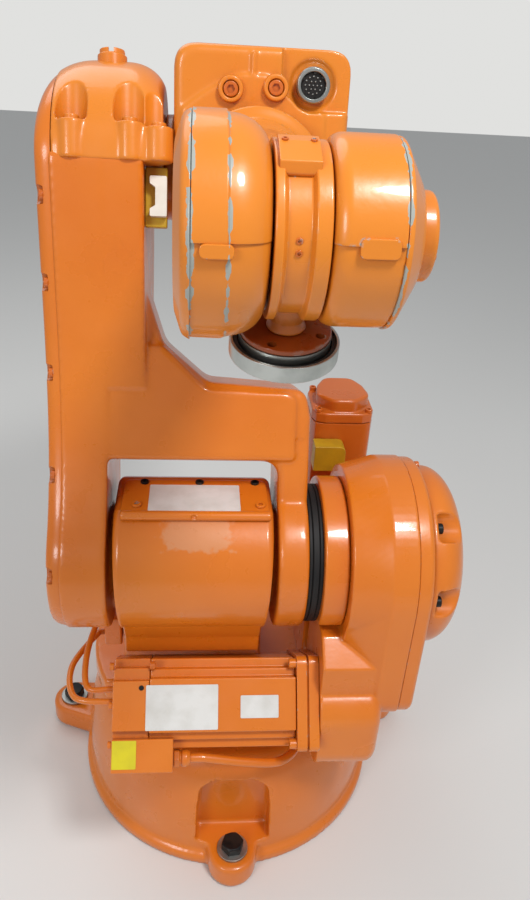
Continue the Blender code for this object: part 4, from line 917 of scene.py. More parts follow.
@dataclass
class Gearbox:
    """The second axis gearbox: body with its shelf and pinion boss, end plate and dome."""

    paints: Paints
    axis: Point = (-0.070, 0.352)
    motor: Point = (-0.141, 0.243)
    tail_radius: float = 0.028
    boss: Point = (-0.150, 0.190)
    left: float = 0.0968
    crease: float = 0.132
    right: float = 0.155
    end_right: float = 0.170
    dome_radius: float = 0.088
    dome_face: float = 0.046
    dome_right: float = 0.208
    pocket_angles: tuple[float, ...] = (128.0, 176.0, 308.0, 356.0)
    pocket_radius: float = 0.014

    def build(self) -> None:
        """Build and dress the gearbox."""
        self.body()
        self.end_plate()
        self.dome()

    def body(self) -> None:
        """Cast the body: a cone, a short cylinder, the motor's shelf and the pinion boss."""
        tail = (self.axis[0] + 0.35 * (self.motor[0] - self.axis[0]),
                self.axis[1] + 0.35 * (self.motor[1] - self.axis[1]))
        narrow = hull(self.axis, 0.088, tail, 0.050)
        full = hull(self.axis, 0.098, self.motor, self.tail_radius)
        shells = []
        for index in range(17):
            share = index / 16
            outline = [(a + share * (c - a), b + share * (d - b)) for (a, b), (c, d) in zip(narrow, full)]
            shells.append((outline, self.left + share * (self.crease - self.left)))
        piece = Solid.loft(shells + [(full, self.right)], Axis.X)
        block_left, plane = 0.0770, -0.166
        low, high = self.boss[1], self.boss[1] + 0.034
        shelf = [(self.axis[0] + 0.002, 0.300), (-0.142, 0.306), (plane, 0.286), (plane, low),
                 (self.boss[0] + 0.033, low), (self.axis[0] + 0.002, low + 0.022)]
        sections = []
        for index in range(9):
            angle = math.pi / 2 * index / 8
            inset = 0.012 * (1 - math.cos(angle))
            outline = hull((self.boss[0], low), 0.033 - inset, (self.boss[0], high), 0.0329 - inset)
            sections.append((outline, 0.126 + 0.012 * math.sin(angle)))
        first = [(outline, block_left) for outline, _ in sections[:1]]
        piece.fuse(Solid.prism(shelf, Axis.X, block_left, 0.138), Solid.loft(first + sections, Axis.X))
        piece.cast(0.0013, 1, 0.5)
        piece.fit("gearbox_body", FLOOR, self.paints.orange, "gearbox_housing", ["gearbox_housing"])

    def end_plate(self) -> None:
        """Make the end plate, its outer edge run round."""
        seat = self.right + GAP
        sections = []
        for index in range(7):
            angle = math.pi / 2 * index / 6
            inset = 0.0055 * (1 - math.cos(angle))
            outline = hull(self.axis, 0.0965 - inset, self.motor, 0.0265 - inset)
            sections.append((outline, self.end_right - 0.0055 + 0.0055 * math.sin(angle)))
        first = hull(self.axis, 0.0965 - 0.0006, self.motor, 0.0265 - 0.0006)
        second = hull(self.axis, 0.0965, self.motor, 0.0265)
        piece = Solid.loft([(first, seat), (second, seat + 0.0006)] + sections, Axis.X)
        piece.fit("gearbox_end_plate", FLOOR, self.paints.orange, "gearbox_end_flange",
                  ["gearbox_end_flange"])
        run = Vector(self.motor) - Vector(self.axis)
        spots = []
        for angle in (20, 75, 250):
            spots.append((self.axis[0] + 0.091 * math.cos(math.radians(angle)),
                          self.axis[1] + 0.091 * math.sin(math.radians(angle))))
        spots.append((self.motor[0] + run.x * 0.05, self.motor[1] + run.y * 0.05))
        screws = [facing((self.end_right - 0.0012, y, z), Axis.X) for y, z in spots]
        cap_screw(0.0042, 0.004).repeated(screws).fit("gearbox_end_screws", FLOOR, self.paints.deep,
                                                      "gearbox_end_flange")

    def dome(self) -> None:
        """Cast the domed cover with its screw pockets."""
        base = self.end_right + GAP
        rim = base + 0.010
        line = [(0.0, base), (self.dome_radius, base)]
        for index in range(25):
            angle = math.pi / 2 * index / 24
            line.append((self.dome_face + (self.dome_radius - self.dome_face) * math.cos(angle),
                         rim + (self.dome_right - rim) * math.sin(angle)))
        piece = Solid.turned(line + [(0.0, self.dome_right)], Axis.X, self.axis)
        piece.cast(0.0016, 2, 1.0)
        floor = base + 0.006
        screws = []
        for degrees in self.pocket_angles:
            angle = math.radians(degrees)
            centre = (self.axis[0] + self.dome_radius * math.cos(angle),
                      self.axis[1] + self.dome_radius * math.sin(angle))
            bowl = rounded([(0.0, floor), (self.pocket_radius, floor), (self.pocket_radius + 0.002, 0.22),
                            (0.0, 0.22)], [0.0, 0.003, 0.0, 0.0], False)
            piece.cut(Solid.turned(bowl, Axis.X, centre, SMALL))
            inner = self.dome_radius - 0.0055
            screws.append(facing((floor - 0.0005, self.axis[0] + inner * math.cos(angle),
                                  self.axis[1] + inner * math.sin(angle)), Axis.X))
        piece.cast(0.0014, 2, 0.5)
        piece.fit("gearbox_dome", FLOOR, self.paints.orange, "gearbox_cover", ["gearbox_cover"])
        cap_screw(0.0050, 0.005).repeated(screws).fit("gearbox_dome_screws", FLOOR, self.paints.bolt,
                                                      "gearbox_cover")


# --------------------------------------------------------------------------- motors


@dataclass
class FrontMotor:
    """The second axis motor, tilted under the housing, with its box, gland and cables."""

    paints: Paints
    side: float = 0.084
    face: float = 0.050
    notch: float = 0.009
    left: float = -0.1205
    body_left: float = -0.086
    body_right: float = 0.055
    flange_right: float = 0.0767
    flange_side: float = 0.090
    box_right: float = -0.0625
    box_top: float = -0.0300
    box_low: float = -0.0605
    box_depth: float = 0.045

    def build(self) -> None:
        """Build and dress the motor."""
        self.body()
        self.ends()
        self.connector()
        self.cables()

    def body(self) -> None:
        """Make the motor's body with the step of its cooling rib, and its blank plates."""
        paint = self.paints.orange
        piece = Solid.prism(notched(self.side, self.face, self.notch), Axis.X, self.body_left,
                            self.body_right).bevel(0.0016)
        piece.fit("axis2_motor_body", MOTOR_2, paint, "axis2_motor", ["axis2_motor"])
        half = self.side / 2
        plates = (("axis2_motor_blank_plate", -0.0890, -0.0205, -0.0225, 0.0190),
                  ("axis2_motor_small_plate", 0.0010, 0.0375, -0.0125, 0.0085))
        for name, near, far, low, high in plates:
            plate = Solid.prism(box_outline(near, far, low, high, 0.0012), Axis.Y, -half - 0.0006, -half)
            plate.fit(name, MOTOR_2, self.paints.label, "axis2_motor")

    def ends(self) -> None:
        """Make the rear end cap, the front flange and the screws through them."""
        paint = self.paints.orange
        outline = rounded(notched(self.side, self.face - 0.004, self.notch - 0.001), 0.0012)
        end = Solid.prism(outline, Axis.X, self.left, self.body_left - GAP).bevel(0.0014)
        end.fit("axis2_motor_end_cap", MOTOR_2, paint, "axis2_motor_end", ["axis2_motor_end"])
        half = self.flange_side / 2
        near = self.body_right + GAP
        square = box_outline(-half, half, -half, half, 0.009)
        inner = box_outline(-half + 0.003, half - 0.003, -half + 0.003, half - 0.003, 0.008)
        middle = (near + self.flange_right) / 2
        flange = Solid.loft([(square, near), (square, middle - 0.001), (inner, middle - 0.0005),
                             (inner, middle + 0.0005), (square, middle + 0.001),
                             (square, self.flange_right)], Axis.X).bevel(0.0008, 2)
        flange.fit("axis2_motor_front_flange", MOTOR_2, paint, "axis2_motor_flange",
                   ["axis2_motor_flange"])
        spot = half - 0.0075
        screws = [facing((near + 0.0004, y, z), Axis.X, -1.0) for y in (-spot, spot) for z in (-spot, spot)]
        cap_screw(0.0048, 0.0075).repeated(screws).fit("axis2_motor_flange_screws", MOTOR_2, paint,
                                                       "axis2_motor_flange")
        corner = self.side / 2 - self.notch / 2 - 0.001
        bolts = [facing((self.body_left - 0.0002, y, z), Axis.X) for y in (-corner, corner)
                 for z in (-corner, corner)]
        cap_screw(0.0040, 0.0050).repeated(bolts).fit("axis2_motor_end_screws", MOTOR_2, self.paints.deep,
                                                      "axis2_motor_end")
        corner = self.side / 2 - 0.006
        nuts = [facing((self.left + 0.0002, y, z), Axis.X, -1.0) for y in (-corner, corner)
                for z in (-corner, 0.0, corner)]
        cap_screw(0.0038, 0.0040).repeated(nuts).fit("axis2_motor_back_screws", MOTOR_2, paint,
                                                     "axis2_motor_end")
        cap_screw(0.0024, 0.0008).repeated([facing((-0.0935, -self.side / 2, 0.0165), Axis.Y, -1.0)]).fit(
            "axis2_motor_earth_screw", MOTOR_2, self.paints.bolt, "axis2_motor_end")

    def connector(self) -> None:
        """Make the connector box under the motor, with its blank plate and gland."""
        half, low, top = self.side / 2, self.box_low, self.box_top
        box = Solid.block((self.left, -half - 0.0006, low),
                          (self.box_right, -half + self.box_depth, top), 0.0014)
        box.fit("axis2_connector_box_body", MOTOR_2, self.paints.orange, "axis2_connector_box",
                ["axis2_connector_box"])
        outline = box_outline(self.left + 0.0010, -0.0970, low + 0.0040, top - 0.0010, 0.001)
        plate = Solid.prism(outline, Axis.Y, -half - 0.0012, -half - 0.0006)
        plate.fit("connector_box_blank_plate", MOTOR_2, self.paints.yellow_film, "axis2_connector_box")
        start = self.box_right + GAP
        centre = (-half + self.box_depth / 2, low + 0.0085)
        hexagon = arc(centre, 0.0088, 0, 300, HEX - 1)
        nut = Solid.prism(hexagon, Axis.X, start, start + 0.0055).bevel(0.0006, 2)
        neck = rounded([(0.0, start + 0.005), (0.0065, start + 0.005), (0.0065, start + 0.0075),
                        (0.0082, start + 0.008), (0.0082, start + 0.0125), (0.0062, start + 0.016),
                        (0.0, start + 0.016)], 0.0006, False, 3)
        nut.fuse(Solid.turned(neck, Axis.X, centre, SMALL)).cast(0.0006, 1, 0.6)
        nut.fit("cable_gland_nut", MOTOR_2, self.paints.orange, "cable_gland", ["cable_gland"])

    def cables(self) -> None:
        """Run the motor's cable and the two loops from the terminal block."""
        place = MOTOR_2.matrix()
        start = Vector((self.box_right + 0.0155, self.box_depth / 2 - self.side / 2, self.box_low + 0.0085))
        x, y, z = place @ start
        front, foot, radius = -0.0743, 0.1645, 0.0045
        route = [(x, y, z), (x + 0.012, y, z), (0.010, y + 0.003, z - 0.012), (0.042, y + 0.010, z - 0.021),
                 (0.060, y + 0.028, z - 0.026), (0.066, -0.125, 0.155), (0.066, -0.098, 0.160),
                 (0.066, front - radius, foot), (0.066, front, foot)]
        cable("motor_cable_hose", route, radius, self.paints.orange, "motor_cable")
        right, width = -0.1193, 0.018
        low, near, depth, tall = 0.231, -0.074, 0.022, 0.036
        block = Solid.block((right - width, near, low), (right, near + depth, low + tall), 0.0022)
        block.fit("cable_terminal_block", FLOOR, self.paints.orange, "cable_terminal", ["cable_terminal"])
        for node, rise, bulge, lead in (("loop_cable_lower", 0.25, 0.028, 0.024),
                                        ("loop_cable_upper", 0.75, 0.014, 0.008)):
            start = (right - width - GAP, near + depth / 2, low + tall * rise)
            end = (self.left - GAP, -0.130 - lead, 0.235)
            reach, back = start[0] - bulge, bulge * 0.25
            route = [start, (start[0] - 0.006, start[1], start[2]),
                     (reach, (start[1] + end[1]) / 2, (start[2] + end[2]) / 2),
                     (reach + back, end[1] + back, end[2]), (end[0] - 0.006, end[1], end[2]), end]
            cable(node + "_hose", route, 0.0031, self.paints.orange, node)


def cable(name: str, route: Sequence[Triple], radius: float, finish: bpy.types.Material, node: str) -> None:
    """Run a round cable, held at both ends, along its route.

    Args:
        name: The piece's name.
        route: The points that it passes, straight out at both ends.
        radius: Its radius.
        finish: Its material.
        node: The CAD node that it stands for.
    """
    points = [Vector(route[0])]
    for before, start, end, after in zip(route, route[1:], route[2:], route[3:]):
        before, start, end, after = (Vector(p) for p in (before, start, end, after))
        steps = max(2, round((end - start).length / radius))
        for index in range(steps):
            s = index / steps
            points.append((before * (-s + 2 * s**2 - s**3) + start * (2 - 5 * s**2 + 3 * s**3)
                           + end * (s + 4 * s**2 - 3 * s**3) + after * (s**3 - s**2)) / 2)
    points += [Vector(point) for point in route[-2:]]
    curve = bpy.data.curves.new(name, "CURVE")
    curve.dimensions = "3D"
    curve.bevel_depth = radius
    curve.bevel_resolution = 6
    curve.use_fill_caps = True
    spline = curve.splines.new("POLY")
    spline.points.add(len(points) - 1)
    for item, point in zip(spline.points, points):
        item.co = (*point, 1.0)
    curve.materials.append(finish)
    item = bpy.data.objects.new(name, curve)
    bpy.context.scene.collection.objects.link(item)
    ride(item, name, node, [node])


@dataclass
class UprightMotor:
    """The first axis motor behind the gearbox, with its lobed cap and yellow socket."""

    paints: Paints
    x: float = 0.115
    y: float = 0.086
    half: float = 0.034
    foot: float = 0.1783
    top: float = 0.432
    cap_top: float = 0.459

    def build(self) -> None:
        """Build and dress the motor."""
        x, y, half, paint = self.x, self.y, self.half, self.paints.deep
        square = rounded([(x - half, y - half), (x + half, y - half), (x + half, y + half),
                          (x - half, y + half)], 0.014, steps=2)
        body = Solid.prism(square, Axis.Z, self.foot, self.top).bevel(0.0012, 2)
        body.fit("axis1_motor_body", FLOOR, paint, "axis1_motor", ["axis1_motor"])
        seat = self.top + GAP
        plate = Solid.prism(square, Axis.Z, seat, seat + 0.012).bevel(0.0015, 2)
        lobe = rounded([(x - 0.030, y - 0.014), (x - 0.012, y - 0.031), (x + 0.012, y - 0.031),
                        (x + 0.030, y - 0.014), (x + 0.026, y + 0.010), (x + 0.016, y + 0.030),
                        (x - 0.016, y + 0.030), (x - 0.026, y + 0.010)], 0.014)
        crown = Solid.prism(lobe, Axis.Z, seat + 0.011, self.cap_top).bevel(0.003)
        plate.fuse(crown).cast(0.0010, 1, 0.5)
        plate.fit("axis1_motor_lobed_cap", FLOOR, paint, "axis1_motor_cap", ["axis1_motor_cap"])
        spot = half - 0.0065
        screws = [facing((x + a, y + b, seat + 0.0115), Axis.Z)
                  for a, b in ((spot, spot), (-spot, spot), (spot, -spot), (-spot, -spot))]
        cap_screw(0.0038, 0.004).repeated(screws).fit("axis1_motor_cap_screws", FLOOR, paint,
                                                      "axis1_motor_cap")
        left, near = x - half + 0.002, y - half - GAP
        line = rounded([(left, 0.384), (left + 0.034, 0.384), (left + 0.034, 0.414), (left, 0.414)],
                       [0.001, 0.003, 0.008, 0.001])
        socket = Solid.prism(line, Axis.Y, near - 0.020, near).bevel(0.0012)
        socket.fit("axis1_socket_yellow", FLOOR, self.paints.yellow, "axis1_socket", ["axis1_socket"])


# --------------------------------------------------------------------------- lower arm


@dataclass
class LowerArm:
    """The forked arm: left column, crossbar, right leg, side cover, cap and limit stop."""

    paints: Paints
    length: float = 0.360
    leg_radius: float = 0.0727
    top_radius: float = 0.0844
    left: float = -0.163
    leg_inner: float = -0.124
    column_right: float = -0.090
    right_inner: float = 0.0315
    right_outer: float = 0.060
    cap_right: float = -0.075
    bar_low: float = 0.098
    bar_high: float = 0.165
    bar_depth: float = 0.0415
    face_depth: float = 0.0465
    parting: float = 0.350
    cover_left: float = -0.177
    pockets: tuple[float, ...] = (-0.147, -0.101, -0.078)

    def outline(self, inset: float) -> list[Point]:
        """Return the arm's side outline, drawn in by an inset: straight back, waisted front."""
        low, top = self.leg_radius - inset, self.top_radius - inset
        lean = math.degrees(math.acos((low - top) / self.length))
        upper = arc((0.0, self.length), top, 90 - lean, 190, 60)
        lower = arc((0.0, 0.0), low, 155, 450 - lean, 60)
        ends = []
        for angle, point, handle in ((190, upper[-1], 0.120), (155, lower[0], -0.100)):
            heading = math.radians(angle + 90)
            ends.append(Vector(point) + handle * Vector((math.cos(heading), math.sin(heading))))
        start, finish = Vector(upper[-1]), Vector(lower[0])
        waist = []
        for index in range(1, 30):
            s = index / 30
            point = (start * (1 - s) ** 3 + ends[0] * 3 * s * (1 - s) ** 2 + ends[1] * 3 * s**2 * (1 - s)
                     + finish * s**3)
            waist.append((point.x, point.y))
        return upper + waist + lower

    def build(self) -> None:
        """Build and dress the arm."""
        self.casting()
        self.cover()
        self.cap()
        self.plug()
        self.limit_stop()

    def casting(self) -> None:
        """Cast the column, the crossbar and the right leg as one fork."""
        side = clipped(self.outline(0.0), self.parting + 0.005, False)
        piece = Solid.prism(side, Axis.X, self.left - 0.0024, self.leg_inner).bevel(0.002)
        column = clipped(clipped(self.outline(0.0004), self.parting + 0.005, False), self.bar_high, True)
        piece.fuse(Solid.prism(column, Axis.X, self.leg_inner - 0.010, self.column_right).bevel(0.008, 4))
        corner = (self.right_inner, self.bar_low)
        front = [(self.leg_inner - 0.002, self.bar_low), corner, (self.right_inner, 0.0),
                 (self.right_outer, 0.0), (self.right_outer, 0.140), (0.055, self.bar_high),
                 (-0.035, self.bar_high + 0.006), (self.cap_right, 0.205), (self.column_right, 0.250),
                 (self.leg_inner - 0.002, 0.250)]
        front = rounded(front, [0.0, 0.016, 0.0, 0.0, 0.012, 0.014, 0.020, 0.020, 0.010, 0.0])
        bar = Solid.prism(front, Axis.Y, -self.bar_depth, self.bar_depth).bevel(0.006, 4)
        face = [(self.leg_inner - 0.002, self.bar_low + 0.002), (0.046, self.bar_low + 0.002),
                (0.046, self.bar_high - 0.002), (-0.035, self.bar_high), (self.cap_right, 0.203),
                (self.leg_inner - 0.002, 0.203)]
        panel = Solid.prism(rounded(face, [0.0, 0.004, 0.012, 0.015, 0.010, 0.0]), Axis.Y,
                            -self.face_depth, 0.0).bevel(0.003)
        rim = rounded([(0.0, self.right_inner), (self.leg_radius, self.right_inner),
                       (self.leg_radius, self.right_outer), (0.0, self.right_outer)], 0.004, False)
        leg = Solid.turned(rim, Axis.X)
        inner = Solid.turned([(0.0, self.leg_inner - 0.002), (0.045, self.leg_inner - 0.002),
                              (0.045, -0.1193), (0.0, -0.1193)], Axis.X)
        middle = Solid.turned([(0.0, 0.0278), (0.045, 0.0278), (0.045, 0.034), (0.0, 0.034)], Axis.X)
        outer = Solid.turned([(0.0, 0.058), (0.045, 0.058), (0.045, 0.0732), (0.0, 0.0732)], Axis.X)
        piece.fuse(bar, panel, leg, inner, middle, outer)
        piece.cast(0.0018, 4, 1.0)
        pocket = rounded([(0.0445, 0.121), (0.0575, 0.121), (0.0575, 0.070)], 0.003)
        piece.cut(Solid.prism(pocket, Axis.Y, -0.060, -0.0405))
        piece.cast(0.0018, 2, 0.42)
        piece.fit("lower_arm_fork", AXIS_2, self.paints.orange, "lower_arm", ["lower_arm"])

    def cover(self) -> None:
        """Make the side cover with its rounded edge and its screws in their recesses."""
        base = self.left - GAP
        sections = []
        for index in range(15):
            angle = math.pi / 2 * index / 14
            inset = 0.0020 + 0.0075 * (1 - math.cos(angle))
            level = base + (self.cover_left - base) * math.sin(angle)
            drop = self.crown(level)
            sections.append(([self.lowered(point, drop) for point in self.outline(inset)], level))
        piece = Solid.loft(sections, Axis.X)
        line = [self.lowered(point, self.crown(-0.174)) for point in self.outline(0.0065)]
        front = [point for point in line if point[0] < 0 and point[1] < 0.38]
        back = [point for point in line if point[0] > 0]
        spots = [min(front, key=lambda p, z=z: abs(p[1] - z))
                 for z in (0.322, 0.251, 0.182, 0.084, -0.004)]
        spots.append((-0.052, 0.392))
        spots += [min(back, key=lambda p, z=z: abs(p[1] - z)) for z in (0.39, 0.28, 0.17, 0.06)]
        for spot in spots:
            bowl = rounded([(0.0, -0.185), (0.0086, -0.185), (0.0076, -0.1705), (0.0, -0.1705)],
                           [0.0, 0.0, 0.001, 0.0], False)
            piece.cut(Solid.turned(bowl, Axis.X, spot, 28))
        piece.fit("side_cover_enamelled", AXIS_2, self.paints.orange, "side_cover", ["side_cover"])
        screws = [facing((-0.1704, y, z), Axis.X, -1.0) for y, z in spots]
        cap_screw(0.0045, 0.0036).repeated(screws).fit("side_cover_screws", AXIS_2, self.paints.deep,
                                                       "side_cover")

    def cap(self) -> None:
        """Cast the domed cap over the third axis, with its bolt pockets and bosses."""
        level = self.parting + GAP
        steps = 44
        shells = []
        for index in range(steps + 1):
            at = self.left + (self.cap_right - self.left) * (1 - math.cos(math.pi * index / steps)) / 2
            shells.append((self.squeezed(level, self.crown(at)), at))
        piece = Solid.loft(shells, Axis.X)
        front = -self.top_radius + 0.0095
        for x in self.pockets:
            boss = [(0.0, level + 0.0005), (0.0118, level + 0.0005), (0.0118, 0.381), (0.0, 0.381)]
            piece.fuse(Solid.turned(boss, Axis.Z, (x, front - 0.0012), SMALL))
        piece.cast(0.0013, 3, 1.0)
        for x, floor in zip(self.pockets, (0.380, 0.380, 0.377)):
            bowl = rounded([(0.0, floor), (0.0125, floor), (0.0135, 0.47), (0.0, 0.47)],
                           [0.0, 0.002, 0.0, 0.0], False)
            piece.cut(Solid.turned(bowl, Axis.Z, (x, front - 0.003), SMALL))
        piece.cast(0.0013, 2, 0.5)
        piece.fit("axis3_cap_domed", AXIS_2, self.paints.pale, "axis3_cap", ["axis3_cap"])
        screws = [facing((x, front - 0.0015, floor - 0.0005), Axis.Z)
                  for x, floor in zip(self.pockets, (0.380, 0.380, 0.377))]
        cap_screw(0.0062, 0.0045).repeated(screws).fit("axis3_cap_screws", AXIS_2, self.paints.pale,
                                                       "axis3_cap")

    def crown(self, x: float) -> float:
        """Return how far the cap's crown has fallen, at a place across the arm."""
        left = min(max((-0.132 - x) / 0.045, 0.0), 1.0)
        right = min(max((x + 0.105) / 0.031, 0.0), 1.0)
        return 0.036 * (1 - math.sqrt(1 - left**2)) + 0.026 * (1 - math.sqrt(1 - right**2))

    def lowered(self, point: Point, drop: float) -> Point:
        """Lower a point above the parting in step with the crown."""
        rise = self.top_radius + self.length - self.parting
        y, z = point
        return (y, z) if z < self.parting else (y, self.parting + (z - self.parting) * (1 - drop / rise))

    def squeezed(self, level: float, drop: float) -> list[Point]:
        """Return the cap's outline at a place where its crown has fallen."""
        across = 1.007 - drop * 0.2 / self.top_radius
        line = clipped(self.outline(0.0), level, True)
        return [self.lowered((y * across, z), drop) for y, z in line]

    def plug(self) -> None:
        """Make the lifting plug on top, notched for a tool."""
        top = self.length + self.top_radius
        foot = top - 0.0083
        centre = (-0.1205, -0.020)
        line = rounded([(0.0, foot), (0.0125, foot), (0.0125, foot + 0.0095), (0.0108, foot + 0.0105),
                        (0.0108, top + 0.006), (0.0, top + 0.006)], 0.0008, False, 3)
        piece = Solid.turned(line, Axis.Z, centre, 48)
        slot = Solid.block((centre[0] - 0.0022, centre[1] - 0.02, top + 0.0025),
                           (centre[0] + 0.0022, centre[1] + 0.02, top + 0.02))
        other = Solid.block((centre[0] - 0.02, centre[1] - 0.0022, top + 0.0025),
                            (centre[0] + 0.02, centre[1] + 0.0022, top + 0.02))
        hollow = Solid.turned([(0.0, top + 0.0025), (0.0068, top + 0.0025), (0.0068, top + 0.02),
                               (0.0, top + 0.02)], Axis.Z, centre, SMALL)
        piece.cut(slot, other, hollow).bevel(0.0004, 2)
        piece.fit("top_plug_notched", AXIS_2, self.paints.pale, "top_plug", ["top_plug"])

    def limit_stop(self) -> None:
        """Make the yellow plate and the white block that stop the third axis."""
        left, right = self.column_right + GAP, -0.0715
        high = self.parting - GAP
        low = high - 0.048
        plate = Solid.block((left, -0.062, low), (right, -0.051, high), 0.0012)
        plate.fit("limit_plate_yellow", AXIS_2, self.paints.yellow, "arm_yellow_cap", ["arm_yellow_cap"])
        middle = (low + high) / 2
        tall, waist = 0.016, 0.0072
        near = right - 0.0140
        line = [(near, middle - tall), (right, middle - tall), (right, middle + tall), (near, middle + tall),
                (near, middle + tall - 0.006), (near + 0.0045, middle + waist),
                (near + 0.0045, middle - waist), (near, middle - tall + 0.006)]
        block = Solid.prism(rounded(line, 0.0012, steps=3), Axis.Y, -0.0713, -0.0623).bevel(0.0007, 2)
        block.fit("limit_block_white", AXIS_2, self.paints.white, "arm_white_block", ["arm_white_block"])


# --------------------------------------------------------------------------- upper arm


@dataclass
class UpperArm:
    """The motor housing that turns on the third axis, with its connector and rear covers."""

    paints: Paints
    left: float = -0.066
    right: float = 0.075
    front: float = -0.075
    back: float = 0.100
    low: float = -0.065
    high: float = 0.098
    corner: float = 0.018
    edge: float = 0.007
    connector: Point = (0.0445, 0.072)

    def build(self) -> None:
        """Build and dress the housing."""
        self.housing()
        self.socket()
        self.rear_covers()

    def housing(self) -> None:
        """Cast the housing with its recess, arch, rib and two screw bosses."""
        sections = []
        for index in range(8):
            angle = math.pi / 2 * index / 7
            sections.append((self.edge * (1 - math.sin(angle)),
                             self.front + self.edge * (1 - math.cos(angle))))
        for index in range(8):
            angle = math.pi / 2 * index / 7
            sections.append((self.edge * (1 - math.cos(angle)),
                             self.back - self.edge * (1 - math.sin(angle))))
        shells = [(box_outline(self.left + i, self.right - i, self.low + i, self.high - i, self.corner - i),
                   at) for i, at in sections]
        piece = Solid.loft(shells, Axis.Y)
        hub = Solid.turned([(0.0, -0.0747), (0.045, -0.0747), (0.045, -0.05), (0.0, -0.05)], Axis.X)
        arch = rounded([(-0.060, 0.0), (0.056, 0.0), (0.055, 0.050), (0.035, 0.063), (0.019, 0.0735),
                        (0.006, 0.077), (-0.013, 0.077), (-0.030, 0.070), (-0.045, 0.061),
                        (-0.060, 0.050)], 0.006)
        bridge = Solid.prism(arch, Axis.Y, self.front - 0.0024, self.front + 0.01).bevel(0.0015)
        rib = Solid.block((-0.0050, self.front - 0.0030, 0.060),
                          (-0.0026, self.front + 0.01, self.high - 0.004),
                          0.0009)
        piece.fuse(hub, bridge, rib)
        piece.cast(0.0014, 2, 1.0)
        floor = self.front + 0.008
        recess = rounded([(0.0185, 0.120), (0.0185, 0.067), (0.0300, 0.058), (0.0470, 0.0520), (0.09, 0.0520),
                          (0.09, 0.120)], [0.0, 0.010, 0.010, 0.010, 0.0, 0.0])
        cup = rounded([(0.0, floor + 0.0028), (0.0165, floor + 0.0028), (0.0205, floor - 0.0005),
                       (0.0205, floor - 0.02), (0.0, floor - 0.02)], [0.0, 0.002, 0.002, 0.0, 0.0], False)
        piece.cut(Solid.prism(recess, Axis.Y, self.front - 0.02, floor),
                  Solid.turned(cup, Axis.Y, self.connector, 48))
        piece.cast(0.0013, 1, 0.4)
        piece.fit("upper_arm_casting", AXIS_3, self.paints.pale, "upper_arm_housing",
                  ["upper_arm_housing"])
        spots = [(-0.0215, 0.0661), (0.0140, 0.0686)]
        cup_line = rounded([(0.0, 0.0), (0.0108, 0.0), (0.0096, 0.0080), (0.0064, 0.0080), (0.0064, 0.0050),
                            (0.0, 0.0050)], 0.0014, False, 5)
        bosses = [facing((x, self.front + 0.0005, z), Axis.Y, -1.0) for x, z in spots]
        Solid.turned(cup_line, Axis.Z, sides=SMALL).repeated(bosses).fit(
            "upper_arm_screw_bosses", AXIS_3, self.paints.pale, "upper_arm_housing")
        heads = [facing((x, self.front - 0.0044, z), Axis.Y, -1.0) for x, z in spots]
        cap_screw(0.0058, 0.0030).repeated(heads).fit("upper_arm_boss_screws", AXIS_3, self.paints.deep,
                                                      "upper_arm_housing")

    def socket(self) -> None:
        """Make the round signal connector: steel ring, black insert, pins and keys."""
        seat = self.front + 0.008 - GAP
        face = seat - 0.006
        ring = rounded([(0.0100, seat), (0.0135, seat), (0.0135, face + 0.001), (0.0125, face),
                        (0.0105, face), (0.0100, face + 0.0006)], 0.0004, False, 3)
        ring = ring + [(0.0100, seat)]
        Solid.turned(ring, Axis.Y, self.connector, 64).fit(
            "arm_connector_steel_ring", AXIS_3, self.paints.steel, "arm_connector_ring",
            ["arm_connector_ring"])
        half = (seat + face) / 2
        disc = rounded([(0.0, seat), (0.0097, seat), (0.0097, half), (0.0, half)], 0.0006, False, 3)
        insert = Solid.turned(disc, Axis.Y, self.connector, 48)
        keys = [(self.connector[0] + 0.0092 * math.cos(a), self.connector[1] + 0.0092 * math.sin(a))
                for a in (math.radians(k) for k in (40, 85, 150, 215, 290))]
        insert.fuse(*[Solid.turned([(0.0, seat), (0.0011, seat), (0.0011, face + 0.001), (0.0, face + 0.001)],
                                   Axis.Y, key, 12) for key in keys])
        insert.fit("arm_connector_black_insert", AXIS_3, self.paints.black, "arm_connector_insert",
                   ["arm_connector_insert"])
        x, z = self.connector
        pins = [facing((x + r * math.cos(a), half + 0.0002, z + r * math.sin(a)), Axis.Y, -1.0)
                for r, count in ((0.0, 1), (0.0032, 6), (0.0064, 12))
                for a in (math.tau * k / count for k in range(count))]
        pin = rounded([(0.0, 0.0), (0.00055, 0.0), (0.00055, 0.0014), (0.0, 0.0014)], 0.0002, False, 2)
        Solid.turned(pin, Axis.Z, sides=10).repeated(pins).fit("arm_connector_pins", AXIS_3,
                                                               self.paints.zinc, "arm_connector_ring")

    def rear_covers(self) -> None:
        """Make the two square covers over the motors at the back."""
        middle, half, seat, reach = (self.left + self.right) / 2, 0.034, self.back + GAP, 0.150
        for side, node in ((-1, "rear_motor_cover_left"), (1, "rear_motor_cover_right")):
            x = middle + side * (half + GAP)
            sections = [(0.0, seat), (0.0, reach - 0.006)]
            for index in range(1, 7):
                angle = math.pi / 2 * index / 6
                sections.append((0.006 * (1 - math.cos(angle)), reach - 0.006 * (1 - math.sin(angle))))
            shells = [(box_outline(x - half + i, x + half - i, -half + i, half - i, 0.012 - i), at)
                      for i, at in sections]
            Solid.loft(shells, Axis.Y).fit(node + "_shell", AXIS_3, self.paints.pale, node, [node])
            spots = [facing((x + a * 0.024, reach - 0.0002, b * 0.024), Axis.Y)
                     for a in (-1, 1) for b in (-1, 1)]
            cap_screw(0.0036, 0.0028).repeated(spots).fit(node + "_screws", AXIS_3, self.paints.deep, node)


# --------------------------------------------------------------------------- forearm


